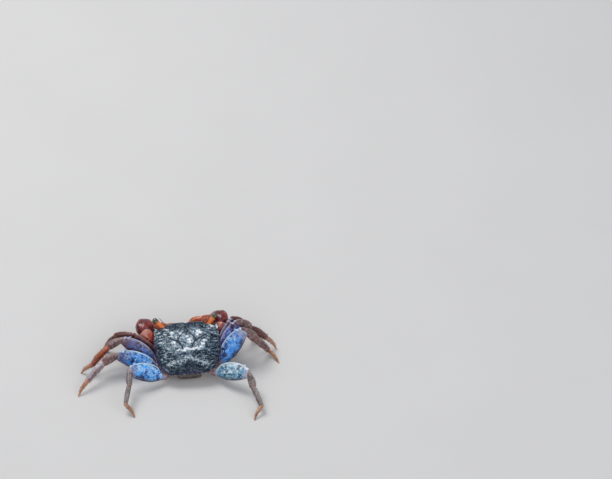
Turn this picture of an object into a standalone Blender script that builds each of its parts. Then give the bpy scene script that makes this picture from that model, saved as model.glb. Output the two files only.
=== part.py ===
"""Mangrove crab (Sesarma mederi), life size, standing still with its claws folded in front.

The crab faces -Y, its left side is +X and the floor is z = 0. Sizes are in millimetres until
new_mesh turns them into metres. Body places are given as (sideways, forward, up) in the
shell's own frame, which is tipped nose up. Limb pieces run root to tip, and each root is a rounded
ball that turns in a socket cut in the piece before it.
"""

import math

import bmesh
import bpy
from mathutils import Matrix, Vector

MM = 0.001
GAP = 0.3  # clear space between pieces that meet

# Where the body stands: the middle of the shell from the middle of the whole crab, and its tilt
BODY_X = -5.7
BODY_Y = -9.78
NOSE_UP = math.radians(7.0)
LEFT_DOWN = math.radians(2.5)

# The shell
UNDERSIDE = 8.0  # height of the shell's lower face
SOCKET_CENTRE = (13.3, 14.6, 13.0)
SOCKET_RADII = (3.2, 2.8, 1.9)
STALK_ROOT = (10.9, 12.4, 12.7)
STALK_TIP = (14.7, 15.5, 15.5)
STALK_RADIUS = 1.15
EYE_RADIUS = 1.5
EYE_LENGTH = 1.9

# Half width of the shell at each place along it, with the two teeth behind each eye
SIDE_EDGE = (
    (13.4, 16.9), (12.8, 16.2), (11.9, 16.2), (10.9, 17.1), (10.3, 16.6), (9.4, 16.6),
    (6.0, 17.0), (0.0, 17.1), (-5.0, 16.8), (-9.0, 15.7), (-12.0, 13.1), (-14.0, 10.2),
)
# How far forward the front edge lies, by share of the half width: brow, eye socket, tooth
FRONT_EDGE = (
    (0.0, 14.2), (0.1, 14.7), (0.3, 14.8), (0.48, 14.5), (0.58, 13.8),
    (0.64, 12.8), (0.8, 12.3), (0.92, 12.7), (1.0, 13.4),
)
REAR_EDGE = ((0.0, -14.5), (0.5, -14.6), (1.0, -14.0))
# Height along the side edge and along the middle line
EDGE_HEIGHT = (
    (13.4, 13.2), (10.9, 13.4), (5.0, 13.5), (0.0, 13.3), (-5.0, 12.6), (-9.0, 11.4),
    (-12.0, 10.2), (-14.0, 9.3),
)
MIDDLE_HEIGHT = (
    (14.8, 14.4), (13.0, 15.3), (10.0, 16.2), (5.0, 17.1), (0.0, 17.3), (-4.0, 17.0),
    (-8.0, 15.8), (-11.0, 13.7), (-13.0, 11.3), (-14.5, 9.6),
)
# Raised and sunk regions of the shell: sideways, forward, spread sideways, spread along, height
REGIONS = (
    (2.6, 13.4, 1.6, 1.4, 0.55), (7.2, 13.0, 1.8, 1.4, 0.5), (0.0, 12.6, 1.0, 3.0, -0.6),
    (5.2, 7.2, 2.8, 2.6, 0.35), (0.0, 3.8, 2.6, 3.0, 0.35), (0.0, -4.6, 3.2, 2.4, 0.4),
    (10.5, -1.0, 3.6, 5.0, 0.3), (6.4, 0.6, 1.2, 3.4, -0.45), (4.6, -6.2, 1.2, 2.2, -0.4),
)
ROWS_FORWARD = (
    13.4, 12.8, 11.9, 10.9, 10.3, 9.4, 7.8, 6.0, 4.0, 2.0, 0.0, -2.0, -4.0, -6.0, -8.0,
    -9.6, -11.0, -12.2, -13.2, -14.0,
)
COLUMNS = (0.0, 0.1, 0.2, 0.3, 0.4, 0.48, 0.55, 0.61, 0.68, 0.76, 0.84, 0.92, 1.0)
# Walls below the edge: step outwards and step down, then the last step in to the lower face
SIDE_WALL = ((0.15, 0.5), (-0.5, 2.0), (-1.8, 3.8))
BROW_WALL = ((0.5, 1.0), (0.6, 2.4), (-0.3, 3.3))
SOCKET_WALL = ((-0.2, 0.5), (-0.6, 1.4), (0.3, 2.8))
WALL_LEAST = (0.9, 0.6, 0.25)  # least height left above the lower face, by share
WALL_FOOT = -3.0

# The walking legs, from the front pair to the last: lengths and half sizes. The breadth widens
# the merus.
LEG_SIZES = {
    1: {"hip": (9.8, 4.3, 4.2), "root": (16.3, 3.8, 3.9), "scale": 0.88, "breadth": 1.0},
    2: {"hip": (10.2, 0.2, 4.9), "root": (17.9, -0.7, 4.7), "scale": 0.97, "breadth": 1.0},
    3: {"hip": (10.0, -4.2, 5.1), "root": (17.1, -6.4, 5.5), "scale": 1.0, "breadth": 1.08},
    4: {"hip": (8.4, -8.8, 5.5), "root": (13.8, -12.6, 6.4), "scale": 0.9, "breadth": 1.22},
}
MERUS_LENGTH = 20.8
CARPUS_LENGTH = 8.6
PROPODUS_LENGTH = 13.0
DACTYLUS_LENGTH = 9.0
HIP_HALF = (1.75, 2.5)
MERUS_HALF = (1.8, 4.3)
CARPUS_HALF = (1.7, 2.4)
PROPODUS_HALF = (1.25, 1.95)
DACTYLUS_HALF = (0.85, 1.2)
TIP_HALF = 0.34

# The pose of each leg, in degrees: heading forward of straight out to the side, and rise above
# level, for the merus, carpus and propodus, then the heading of the dactylus, which comes down
# to the floor
LEG_POSES = {
    ("left", 1): ((21, 34), (12, -22), (4, -62), -34),
    ("left", 2): ((17, 36), (-11, -23), (-36, -29), 4),
    ("left", 3): ((11, 21), (-18, -16), (-43, -19), -50),
    ("left", 4): ((-4, 23), (-86, -30), (-77, -12), -134),
    ("right", 1): ((40, 56), (20, -52), (18, -62), -20),
    ("right", 2): ((37, 56), (8, -46), (4, -46), -20),
    ("right", 3): ((34, 45), (-12, -46), (16, -57), -54),
    ("right", 4): ((-25, 18), (-72, -34), (-71, -15), -124),
}
# How far each pair's upper edge leans forward of upright
LEG_LEAN = {1: 4.0, 2: 22.0, 3: 36.0, 4: 46.0}

# Shapes from root to tip: share of the length, then shares of the half thickness, of the half
# width above the middle and of the half width below it
HIP_SHAPE = (
    (-0.34, 0.45, 0.45, 0.45), (-0.2, 0.85, 0.85, 0.85), (0.0, 1.0, 1.0, 1.0),
    (0.4, 0.9, 0.86, 0.86), (0.72, 0.98, 0.98, 0.98), (0.86, 1.02, 1.06, 1.04),
    (0.95, 0.98, 1.0, 0.98),
)
MERUS_SHAPE = (
    (-0.08, 0.4, 0.16, 0.16), (-0.035, 0.8, 0.34, 0.34), (0.05, 0.92, 0.5, 0.48),
    (0.18, 1.0, 0.76, 0.76), (0.36, 1.0, 0.96, 0.98), (0.55, 1.0, 1.0, 1.0),
    (0.72, 0.98, 0.92, 0.92), (0.84, 0.95, 0.8, 0.8), (0.885, 0.92, 0.92, 0.74),
    (0.91, 0.92, 0.68, 0.7), (0.96, 0.88, 0.6, 0.62), (1.005, 0.74, 0.46, 0.48),
)
CARPUS_SHAPE = (
    (-0.2, 0.45, 0.34, 0.34), (-0.08, 0.82, 0.64, 0.64), (0.08, 0.86, 0.7, 0.7),
    (0.32, 0.92, 0.9, 0.82), (0.6, 1.0, 1.05, 0.94), (0.85, 1.0, 1.0, 0.92),
    (0.96, 0.94, 0.88, 0.84), (1.03, 0.74, 0.64, 0.62),
)
PROPODUS_SHAPE = (
    (-0.12, 0.5, 0.38, 0.38), (-0.04, 0.85, 0.72, 0.72), (0.1, 1.0, 0.9, 0.9),
    (0.4, 1.0, 1.05, 1.0), (0.75, 0.94, 0.88, 0.88), (0.97, 0.86, 0.76, 0.76),
    (1.04, 0.62, 0.52, 0.52),
)
DACTYLUS_SHAPE = (
    (-0.12, 0.5, 0.46, 0.46), (-0.03, 0.88, 0.84, 0.84), (0.12, 1.0, 1.0, 1.0),
    (0.4, 0.84, 0.84, 0.84), (0.68, 0.62, 0.62, 0.62), (0.88, 0.45, 0.44, 0.44),
)

# The claws. Places are measured from the middle of the shell on the floor: sideways outwards,
# forward, up
CLAWS = {
    "left": {
        "hip": (9.2, 9.8, 6.4), "elbow": (16.8, 6.0, 7.4), "wrist": (22.7, 11.7, 11.6),
        "wrist_bulge": (22.5, 15.4, 12.3), "knuckle": (20.0, 17.4, 9.2),
        "palm_root": (19.1, 17.4, 6.7), "tip": (2.4, 18.4, 2.0),
    },
    "right": {
        "hip": (9.2, 9.8, 6.8), "elbow": (15.2, 6.4, 7.8), "wrist": (18.3, 13.4, 13.4),
        "wrist_bulge": (17.4, 16.9, 13.8), "knuckle": (16.0, 19.0, 10.8),
        "palm_root": (15.7, 19.2, 8.8), "tip": (1.8, 21.8, 2.3),
    },
}
ARM_HALF = (3.4, 3.5)
WRIST_HALF = (4.3, 4.5)
PALM_HALF = (3.5, 4.4)
FINGER_HALF = (1.75, 2.0)
HINGE_SHARE = 0.5  # along the palm, where the finger turns
HINGE_LIFT = 2.3
FINGER_BOW = 1.3
ARM_SHAPE = (
    (-0.12, 0.3, 0.24, 0.24), (-0.06, 0.55, 0.45, 0.45), (0.08, 0.62, 0.5, 0.5),
    (0.3, 0.6, 0.5, 0.54), (0.5, 0.74, 0.68, 0.7), (0.75, 0.92, 0.92, 0.9),
    (0.92, 1.0, 1.0, 1.0), (1.02, 0.9, 0.88, 0.88),
)
WRIST_SHAPE = (
    (-0.28, 0.3, 0.3, 0.3), (-0.16, 0.6, 0.6, 0.6), (0.05, 0.8, 0.84, 0.8),
    (0.3, 0.95, 1.02, 0.94), (0.62, 1.02, 1.08, 0.98), (0.88, 0.96, 0.98, 0.9),
    (1.0, 0.8, 0.78, 0.76), (1.1, 0.56, 0.56, 0.56),
)
PALM_SHAPE = (
    (-0.1, 0.34, 0.3, 0.3), (-0.05, 0.66, 0.64, 0.62), (0.05, 0.86, 0.84, 0.8),
    (0.2, 1.0, 0.97, 0.94), (0.36, 1.0, 1.0, 0.98), (0.47, 0.92, 0.92, 0.94),
    (0.54, 0.8, 0.42, 0.88), (0.6, 0.66, 0.02, 0.82), (0.72, 0.54, -0.1, 0.68),
    (0.85, 0.42, -0.06, 0.46), (0.95, 0.28, 0.04, 0.22), (1.0, 0.1, 0.08, 0.04),
)
FINGER_SHAPE = (
    (-0.14, 0.4, 0.4, 0.4), (-0.06, 0.8, 0.8, 0.8), (0.08, 1.0, 1.0, 1.0),
    (0.3, 0.95, 1.0, 0.82), (0.55, 0.8, 0.86, 0.62), (0.78, 0.58, 0.6, 0.44),
    (0.92, 0.36, 0.36, 0.3), (1.0, 0.14, 0.14, 0.12),
)

# Rows of small knobs on the claws: shares of the length where a row starts and ends, how many
# knobs, which edge (+1 upper, -1 lower), knob radius, and how far its centre is sunk
FINGER_KNOBS = (0.12, 0.72, 9, 1, 0.5, 0.1)
PALM_KNOBS = (0.12, 0.4, 6, 1, 0.5, 0.2)
BITE_TEETH = (0.66, 0.93, 6, 1, 0.55, 0.15)
KNOB_TAPER = 0.35  # how much smaller the last knob of a row is, as a share

# The folded tail: forward, up, half width and half thickness, from under the shell to its tip
TAIL_PATH = (
    (-11.2, 7.2, 5.4, 0.45), (-12.6, 7.0, 5.9, 0.55), (-13.4, 6.2, 6.0, 0.6),
    (-13.5, 5.0, 5.9, 0.65), (-12.8, 3.9, 5.8, 0.65), (-11.2, 3.1, 5.6, 0.65),
    (-8.0, 2.7, 5.0, 0.6), (-4.0, 2.6, 4.2, 0.6), (0.0, 2.6, 3.2, 0.55), (3.4, 2.7, 1.9, 0.5),
    (5.0, 2.8, 0.8, 0.4),
)
# The breastplate and mouth frame: forward, half width, top and bottom
BREAST_PATH = (
    (-11.6, 5.2, 5.8), (-10.6, 6.4, 4.5), (-8.0, 8.4, 3.4), (-3.0, 9.0, 3.0),
    (3.0, 9.2, 3.0), (7.6, 9.2, 3.3), (10.4, 8.8, 4.6), (12.2, 8.4, 6.2), (12.8, 8.0, 7.0),
)
# Each outer mouthpart: root, tip and half sizes
MOUTH_ROOT = (3.3, 8.4, 3.3)
MOUTH_TIP = (3.0, 13.0, 7.6)
MOUTH_HALF = (0.8, 2.5)
MOUTH_SHAPE = (
    (-0.1, 0.5, 0.5, 0.5), (0.05, 1.0, 0.85, 0.8), (0.35, 1.0, 1.0, 0.95),
    (0.5, 0.8, 0.9, 0.9), (0.62, 1.0, 1.0, 0.95), (0.9, 1.0, 0.8, 0.8), (1.05, 0.5, 0.4, 0.4),
)
FEELER_PATH = ((9.4, 14.6, 11.0), (10.6, 16.4, 11.6), (12.0, 18.0, 12.4), (13.4, 19.4, 13.6))
FEELER_RADIUS = 0.34

COLOURS = {
    "shell": ((0.09, 0.12, 0.13), 0.45), "underside": ((0.5, 0.44, 0.38), 0.55),
    "leg_blue": ((0.08, 0.2, 0.5), 0.4), "leg_brown": ((0.3, 0.12, 0.09), 0.5),
    "claw": ((0.45, 0.08, 0.03), 0.35), "stalk": ((0.85, 0.26, 0.03), 0.4),
    "eye": ((0.06, 0.07, 0.03), 0.12),
}


def clear_scene():
    for obj in list(bpy.data.objects):
        bpy.data.objects.remove(obj)


def collection(name, hidden=False):
    made = bpy.data.collections.new(name)
    made.hide_render = hidden
    bpy.context.scene.collection.children.link(made)
    return made


def material(name):
    """One material for each kind of surface, made once."""
    made = bpy.data.materials.get(name)
    if made is None:
        colour, roughness = COLOURS[name]
        made = bpy.data.materials.new(name)
        made.use_nodes = True
        shader = made.node_tree.nodes["Principled BSDF"]
        shader.inputs["Base Color"].default_value = (*colour, 1)
        shader.inputs["Roughness"].default_value = roughness
        shader.inputs["Metallic"].default_value = 0.0
    return made


def value_at(table, place):
    """Straight-line value from a table of (place, value), whichever way its places run."""
    rows = sorted(table)
    if place <= rows[0][0]:
        return rows[0][1]
    for (low, first), (high, second) in zip(rows, rows[1:]):
        if place <= high:
            return first + (second - first) * (place - low) / (high - low)
    return rows[-1][1]


def body_matrix():
    tilt = Matrix.Rotation(LEFT_DOWN, 4, "Y") @ Matrix.Rotation(-NOSE_UP, 4, "X")
    return Matrix.Translation((BODY_X, BODY_Y, 0)) @ tilt


def on_body(sideways, forward, up):
    """A place on the body, in millimetres from the origin on the floor."""
    return body_matrix() @ Vector((sideways, -forward, up))


def on_floor_frame(sideways, forward, up):
    """A place measured from the middle of the shell, on the floor and not tipped."""
    return Vector((BODY_X + sideways, BODY_Y - forward, up))


def new_mesh(name, points, faces, slot, group):
    """An object from points in millimetres, with its faces turned outwards."""
    mesh = bpy.data.meshes.new(name)
    mesh.from_pydata([p * MM for p in points], [], faces)
    shape = bmesh.new()
    shape.from_mesh(mesh)
    bmesh.ops.triangulate(shape, faces=shape.faces)
    bmesh.ops.recalc_face_normals(shape, faces=shape.faces)
    shape.to_mesh(mesh)
    shape.free()
    mesh.shade_smooth()
    obj = bpy.data.objects.new(name, mesh)
    mesh.materials.append(material(slot))
    group.objects.link(obj)
    return obj


def as_cutter(obj):
    obj.hide_render = True
    obj.display_type = "WIRE"
    return obj


def cut(obj, cutter, solver="EXACT"):
    """Takes the cutter's shape out of obj."""
    boolean = obj.modifiers.new("cut " + cutter.name, "BOOLEAN")
    boolean.operation = "DIFFERENCE"
    boolean.solver = solver
    boolean.object = cutter


def signed_power(value, power):
    return math.copysign(abs(value) ** power, value)


def ring(centre, side, up, half_side, half_up, half_down, sides, squareness=2.0):
    """The points of one cross-section, which may reach further above its centre than below."""
    points = []
    for i in range(sides):
        turn = 2 * math.pi * i / sides
        across = signed_power(math.cos(turn), 2 / squareness)
        along = signed_power(math.sin(turn), 2 / squareness)
        reach = half_up if along > 0 else half_down
        points.append(centre + side * (half_side * across) + up * (reach * along))
    return points


def loft(name, rings, slot, group):
    """A closed skin over rings of equal count."""
    sides = len(rings[0])
    points = [p for one in rings for p in one]
    faces = [tuple(range(sides))]
    for r in range(len(rings) - 1):
        for i in range(sides):
            j = (i + 1) % sides
            faces.append((r * sides + i, r * sides + j, (r + 1) * sides + j, (r + 1) * sides + i))
    last = (len(rings) - 1) * sides
    faces.append(tuple(range(last, last + sides)))
    return new_mesh(name, points, faces, slot, group)


class Limb:
    """One piece of a limb, along a curve from its root to its tip."""

    def __init__(self, name, root, tip, bulge, upper, half, shape, slot, sides=12):
        self.name = name
        self.root = root
        self.tip = tip
        self.bend = bulge
        self.upper = upper
        self.half = half
        self.shape = shape
        self.slot = slot
        self.sides = sides

    def place(self, share):
        """Centre and forward direction at a share of the length, along a quadratic curve."""
        s = min(1.0, max(0.0, share))
        centre = self.root * (1 - s) ** 2 + self.bend * (2 * s * (1 - s)) + self.tip * s * s
        heading = ((self.bend - self.root) * (1 - s) + (self.tip - self.bend) * s).normalized()
        length = (self.tip - self.root).length
        return centre + heading * (share - s) * length, heading

    def axes(self, share):
        centre, heading = self.place(share)
        up = (self.upper - heading * self.upper.dot(heading)).normalized()
        return centre, heading, up, heading.cross(up)

    def rings(self, grow=0.0):
        """Cross-sections, all moved outwards by grow, and the end ones beyond the ends too."""
        made = []
        for index, (share, thick, above, below) in enumerate(self.shape):
            centre, heading, up, side = self.axes(share)
            if index == 0:
                centre = centre - heading * grow
            elif index == len(self.shape) - 1:
                centre = centre + heading * grow
            made.append(ring(
                centre, side, up, self.half[0] * thick + grow, self.half[1] * above + grow,
                self.half[1] * below + grow, self.sides,
            ))
        return made

    def solid(self, group):
        return loft(self.name, self.rings(), self.slot, group)

    def cutter(self, group):
        return as_cutter(loft("room for " + self.name, self.rings(GAP), self.slot, group))


def direction(side, heading, rise):
    """Unit direction of a leg piece: degrees forward of straight out, and above level."""
    turn, lift = math.radians(heading), math.radians(rise)
    outwards = 1 if side == "left" else -1
    return Vector((
        outwards * math.cos(turn) * math.cos(lift), -math.sin(turn) * math.cos(lift),
        math.sin(lift),
    ))


def middle(root, tip, upper, bow):
    """The bend point of a curve that bows towards upper."""
    along = (tip - root).normalized()
    away = (upper - along * upper.dot(along)).normalized()
    return (root + tip) / 2 + away * bow * 2


def leg_pieces(side, number):
    """The five pieces of one walking leg, hip to tip."""
    outwards = 1 if side == "left" else -1
    sizes = LEG_SIZES[number]
    scale = sizes["scale"]
    lean = math.radians(LEG_LEAN[number])
    upper = Vector((0, -math.sin(lean), math.cos(lean)))
    merus_pose, carpus_pose, propodus_pose, toe_heading = LEG_POSES[side, number]
    hip = on_body(outwards * sizes["hip"][0], *sizes["hip"][1:])
    root = on_body(outwards * sizes["root"][0], *sizes["root"][1:])
    knee = root + direction(side, *merus_pose) * MERUS_LENGTH * scale
    shin = knee + direction(side, *carpus_pose) * CARPUS_LENGTH * scale
    ankle = shin + direction(side, *propodus_pose) * PROPODUS_LENGTH * scale
    toe_length = DACTYLUS_LENGTH * scale
    drop = -math.degrees(math.asin(min(0.98, ankle.z / toe_length)))
    toe = ankle + direction(side, toe_heading, drop) * toe_length
    toe.z = 0.0
    merus_half = (MERUS_HALF[0], MERUS_HALF[1] * sizes["breadth"])

    def piece(kind, start, end, bow, half, shape, slot, sides):
        scaled = tuple(h * scale for h in half)
        name = f"leg_{number}_{side}_{kind}"
        bend = middle(start, end, upper, bow)
        return Limb(name, start, end, bend, upper, scaled, shape, slot, sides)

    return [
        piece("hip", hip, root, 0.0, HIP_HALF, HIP_SHAPE, "underside", 8),
        piece("merus", root, knee, 0.5, merus_half, MERUS_SHAPE, "leg_blue", 10),
        piece("carpus", knee, shin, 0.4, CARPUS_HALF, CARPUS_SHAPE, "leg_brown", 10),
        piece("propodus", shin, ankle, 0.3, PROPODUS_HALF, PROPODUS_SHAPE, "leg_brown", 8),
        piece("dactylus", ankle, toe, 0.7, DACTYLUS_HALF, DACTYLUS_SHAPE, "leg_brown", 8),
    ]


def toe_rings(toe):
    """The last leg piece ends in a small flat that lies on the floor."""
    rings = toe.rings()
    centre, heading, up, side = toe.axes(1.0)
    level_up = Vector((up.x, up.y, 0)).normalized()
    level_side = Vector((-level_up.y, level_up.x, 0))
    if level_side.dot(side) < 0:
        level_side = -level_side
    rings.append(ring(centre, level_side, level_up, TIP_HALF, TIP_HALF, TIP_HALF, toe.sides))
    for one in rings:
        for point in one:
            point.z = max(point.z, 0.0)
    return rings


def build_leg(side, number, parts, cutters):
    """Builds one leg, and returns the cutter that clears its hip."""
    pieces = leg_pieces(side, number)
    solids = [piece.solid(parts) for piece in pieces[:-1]]
    solids.append(loft(pieces[-1].name, toe_rings(pieces[-1]), pieces[-1].slot, parts))
    rooms = [piece.cutter(cutters) for piece in pieces]
    for inner, room in zip(solids, rooms[1:]):
        cut(inner, room)
    return rooms[0]


def claw_pieces(side):
    """Arm, wrist, palm and finger of one claw."""
    outwards = 1 if side == "left" else -1
    spots = {
        name: on_floor_frame(outwards * spot[0], *spot[1:]) for name, spot in CLAWS[side].items()
    }
    upright = Vector((0, -0.25, 1)).normalized()
    leaning = Vector((outwards * 0.3, -0.3, 1)).normalized()
    arm = Limb(
        f"claw_{side}_arm", spots["hip"], spots["wrist"], spots["elbow"], leaning, ARM_HALF,
        ARM_SHAPE, "claw",
    )
    wrist = Limb(
        f"claw_{side}_wrist", spots["wrist"], spots["knuckle"], spots["wrist_bulge"],
        Vector((outwards, -0.6, 0.8)).normalized(), WRIST_HALF, WRIST_SHAPE, "claw",
    )
    palm_middle = (spots["palm_root"] + spots["tip"]) / 2 + Vector((0, -1.2, 0))
    palm = Limb(
        f"claw_{side}_palm", spots["palm_root"], spots["tip"], palm_middle, upright, PALM_HALF,
        PALM_SHAPE, "claw", sides=14,
    )
    centre, heading, up, _ = palm.axes(HINGE_SHARE)
    hinge = centre + up * HINGE_LIFT
    finger_tip = spots["tip"] + up * 0.85 + heading * 0.3
    finger = Limb(
        f"claw_{side}_finger", hinge, finger_tip, middle(hinge, finger_tip, up, FINGER_BOW), up,
        FINGER_HALF, FINGER_SHAPE, "claw",
    )
    return arm, wrist, palm, finger


def knobs(limb, rows, group):
    """One mesh of small balls in rows along a limb piece, each ball part sunk into it."""
    shape = bmesh.new()
    above = [(row[0], row[2]) for row in limb.shape]
    below = [(row[0], row[3]) for row in limb.shape]
    for start, end, count, edge, radius, sink in rows:
        for i in range(count):
            share = start + (end - start) * i / (count - 1)
            centre, _, up, _ = limb.axes(share)
            reach = limb.half[1] * value_at(above if edge > 0 else below, share)
            size = radius * (1 - KNOB_TAPER * i / count)
            place = centre + up * edge * (reach - sink)
            matrix = Matrix.Translation(place * MM) @ Matrix.Scale(size * MM, 4)
            bmesh.ops.create_icosphere(shape, subdivisions=1, radius=1.0, matrix=matrix)
    mesh = bpy.data.meshes.new("knobs of " + limb.name)
    shape.to_mesh(mesh)
    shape.free()
    obj = bpy.data.objects.new(mesh.name, mesh)
    mesh.materials.append(material(limb.slot))
    group.objects.link(obj)
    return as_cutter(obj)


def fuse(obj, addition):
    """Joins small forms to obj."""
    boolean = obj.modifiers.new("join " + addition.name, "BOOLEAN")
    boolean.operation = "UNION"
    boolean.solver = "MANIFOLD"
    boolean.object = addition


def build_claw(side, parts, cutters):
    """Builds one claw, and returns the cutter that clears its arm."""
    arm, wrist, palm, finger = claw_pieces(side)
    solids = [piece.solid(parts) for piece in (arm, wrist, palm, finger)]
    fuse(solids[2], knobs(palm, (PALM_KNOBS, BITE_TEETH), cutters))
    fuse(solids[3], knobs(finger, (FINGER_KNOBS,), cutters))
    rooms = [piece.cutter(cutters) for piece in (arm, wrist, palm, finger)]
    for inner, room in zip(solids, rooms[1:]):
        cut(inner, room)
    return rooms[0]


def shell_height(sideways, forward):
    """Height of the shell's top, with its raised and sunk regions."""
    half = value_at(SIDE_EDGE, forward)
    share = min(1.0, abs(sideways) / half)
    edge = value_at(EDGE_HEIGHT, forward)
    height = edge + (value_at(MIDDLE_HEIGHT, forward) - edge) * (1 - share ** 2.6)
    for across, ahead, wide, deep, rise in REGIONS:
        for mirrored in {across, -across}:
            far = ((sideways - mirrored) / wide) ** 2 + ((forward - ahead) / deep) ** 2
            height += rise * math.exp(-far) * (1 - share ** 6)
    return height


def shell_rows():
    """The top of the shell as rows of (sideways, forward, up), front to rear."""
    shares = [-c for c in reversed(COLUMNS[1:])] + list(COLUMNS)
    first, last = ROWS_FORWARD[0], ROWS_FORWARD[-1]
    rows = []
    for ahead in ROWS_FORWARD:
        down = (first - ahead) / (first - last)
        row = []
        for share in shares:
            front = value_at(FRONT_EDGE, abs(share))
            rear = value_at(REAR_EDGE, abs(share))
            forward = front + (rear - front) * down
            sideways = share * value_at(SIDE_EDGE, forward)
            row.append((sideways, forward, shell_height(sideways, forward)))
        rows.append(row)
    return rows


def wall_profile(spot, index, columns):
    """Which wall hangs from a place on the edge: brow, eye socket or side."""
    share = abs(spot[0]) / value_at(SIDE_EDGE, spot[1])
    if index < columns and share < 0.6:
        return BROW_WALL
    if index < columns and share < 0.97:
        return SOCKET_WALL
    return SIDE_WALL


def build_shell(parts, cutters):
    """The carapace: domed top, walls that turn in below its edge, and a flat lower face."""
    rows = shell_rows()
    columns = len(rows[0])
    points = [spot for row in rows for spot in row]
    faces = []
    for r in range(len(rows) - 1):
        for c in range(columns - 1):
            at = r * columns + c
            faces.append((at, at + 1, at + columns + 1, at + columns))
    edge = list(range(columns))
    edge += [r * columns + columns - 1 for r in range(1, len(rows))]
    edge += [(len(rows) - 1) * columns + c for c in reversed(range(columns - 1))]
    edge += [r * columns for r in reversed(range(1, len(rows) - 1))]
    above = edge
    for step in range(len(SIDE_WALL) + 1):
        below = []
        for index, top in enumerate(edge):
            x, y, z = points[top]
            away = Vector((x, y)).normalized()
            if step == len(SIDE_WALL):
                out, height = WALL_FOOT, UNDERSIDE
            else:
                out, drop = wall_profile(points[top], index, columns)[step]
                height = max(z - drop, UNDERSIDE + (z - UNDERSIDE) * WALL_LEAST[step])
            below.append(len(points))
            points.append((x + away.x * out, y + away.y * out, height))
        for index in range(len(edge)):
            after = (index + 1) % len(edge)
            faces.append((above[index], above[after], below[after], below[index]))
        above = below
    faces.append(tuple(above))
    placed = [on_body(*spot) for spot in points]
    shell = new_mesh("carapace", placed, faces, "shell", parts)
    for side in (1, -1):
        cut(shell, socket_cutter(side, cutters), "MANIFOLD")
    return shell


def ellipsoid(name, centre, turn, radii, slot, group, segments=12, rings=8):
    """A squashed ball, from a sphere primitive."""
    shape = bmesh.new()
    bmesh.ops.create_uvsphere(shape, u_segments=segments, v_segments=rings, radius=1.0)
    size = Matrix.Diagonal((*radii, 1))
    placed = Matrix.Translation(centre) @ turn.to_4x4() @ size
    bmesh.ops.triangulate(shape, faces=shape.faces)
    bmesh.ops.transform(shape, matrix=Matrix.Scale(MM, 4) @ placed, verts=shape.verts)
    mesh = bpy.data.meshes.new(name)
    shape.to_mesh(mesh)
    shape.free()
    mesh.shade_smooth()
    mesh.materials.append(material(slot))
    obj = bpy.data.objects.new(name, mesh)
    group.objects.link(obj)
    return obj


def socket_cutter(side, cutters):
    x, forward, up = SOCKET_CENTRE
    turn = body_matrix().to_3x3()
    centre = on_body(side * x, forward, up)
    name = "socket " + ("left" if side > 0 else "right")
    return as_cutter(ellipsoid(name, centre, turn, SOCKET_RADII, "shell", cutters))


def build_eye(side, parts, cutters):
    """Stalk and eye, and the cutter that clears the stalk."""
    outwards = 1 if side == "left" else -1
    root = on_body(outwards * STALK_ROOT[0], *STALK_ROOT[1:])
    tip = on_body(outwards * STALK_TIP[0], *STALK_TIP[1:])
    upper = Vector((0, 0, 1))
    shape = (
        (-0.2, 0.6, 0.6, 0.6), (0.0, 0.9, 0.9, 0.9), (0.35, 0.9, 0.9, 0.9),
        (0.7, 1.0, 1.0, 1.0), (1.0, 1.1, 1.1, 1.1),
    )
    stalk = Limb(
        f"eyestalk_{side}", root, tip, (root + tip) / 2, upper, (STALK_RADIUS, STALK_RADIUS),
        shape, "stalk",
    )
    solid = stalk.solid(parts)
    along = (tip - root).normalized()
    turn = along.to_track_quat("Z", "Y").to_matrix()
    centre = tip + along * (EYE_LENGTH - 1.0)
    radii = (EYE_RADIUS, EYE_RADIUS, EYE_LENGTH)
    ellipsoid(f"eye_{side}", centre, turn, radii, "eye", parts)
    room = ellipsoid(
        f"room for eye_{side}", centre, turn, [r + GAP for r in radii], "eye", cutters
    )
    cut(solid, as_cutter(room))
    return stalk.cutter(cutters)


def build_feeler(side, parts):
    """One short antenna, a tapered curve."""
    outwards = 1 if side == "left" else -1
    curve = bpy.data.curves.new(f"antenna_{side}", "CURVE")
    curve.dimensions = "3D"
    curve.bevel_depth = FEELER_RADIUS * MM
    curve.bevel_resolution = 2
    curve.use_fill_caps = True
    line = curve.splines.new("POLY")
    line.points.add(len(FEELER_PATH) - 1)
    for index, (x, forward, up) in enumerate(FEELER_PATH):
        line.points[index].co = (*(on_body(outwards * x, forward, up) * MM), 1)
        line.points[index].radius = 1.0 - 0.6 * index / (len(FEELER_PATH) - 1)
    curve.materials.append(material("claw"))
    obj = bpy.data.objects.new(f"antenna_{side}", curve)
    parts.objects.link(obj)


def tail_rings(grow=0.0):
    """Cross-sections of the tail, which curls under the body."""
    made = []
    for index, (forward, up, wide, thick) in enumerate(TAIL_PATH):
        before = TAIL_PATH[max(0, index - 1)]
        after = TAIL_PATH[min(len(TAIL_PATH) - 1, index + 1)]
        # These three are flat places and directions: forward, then up
        heading = Vector((after[0] - before[0], after[1] - before[1])).normalized()
        stretch = grow if index == len(TAIL_PATH) - 1 else -grow if index == 0 else 0.0
        centre = Vector((forward, up)) + heading * stretch
        outer = Vector((-heading.y, heading.x))
        points = ring(
            Vector((0, 0, 0)), Vector((1, 0, 0)), Vector((0, 0, 1)), wide + grow, thick + grow,
            thick + grow, 12, 3.0,
        )
        made.append([
            on_body(p.x, centre.x + outer.x * p.z, centre.y + outer.y * p.z) for p in points
        ])
    return made


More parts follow.
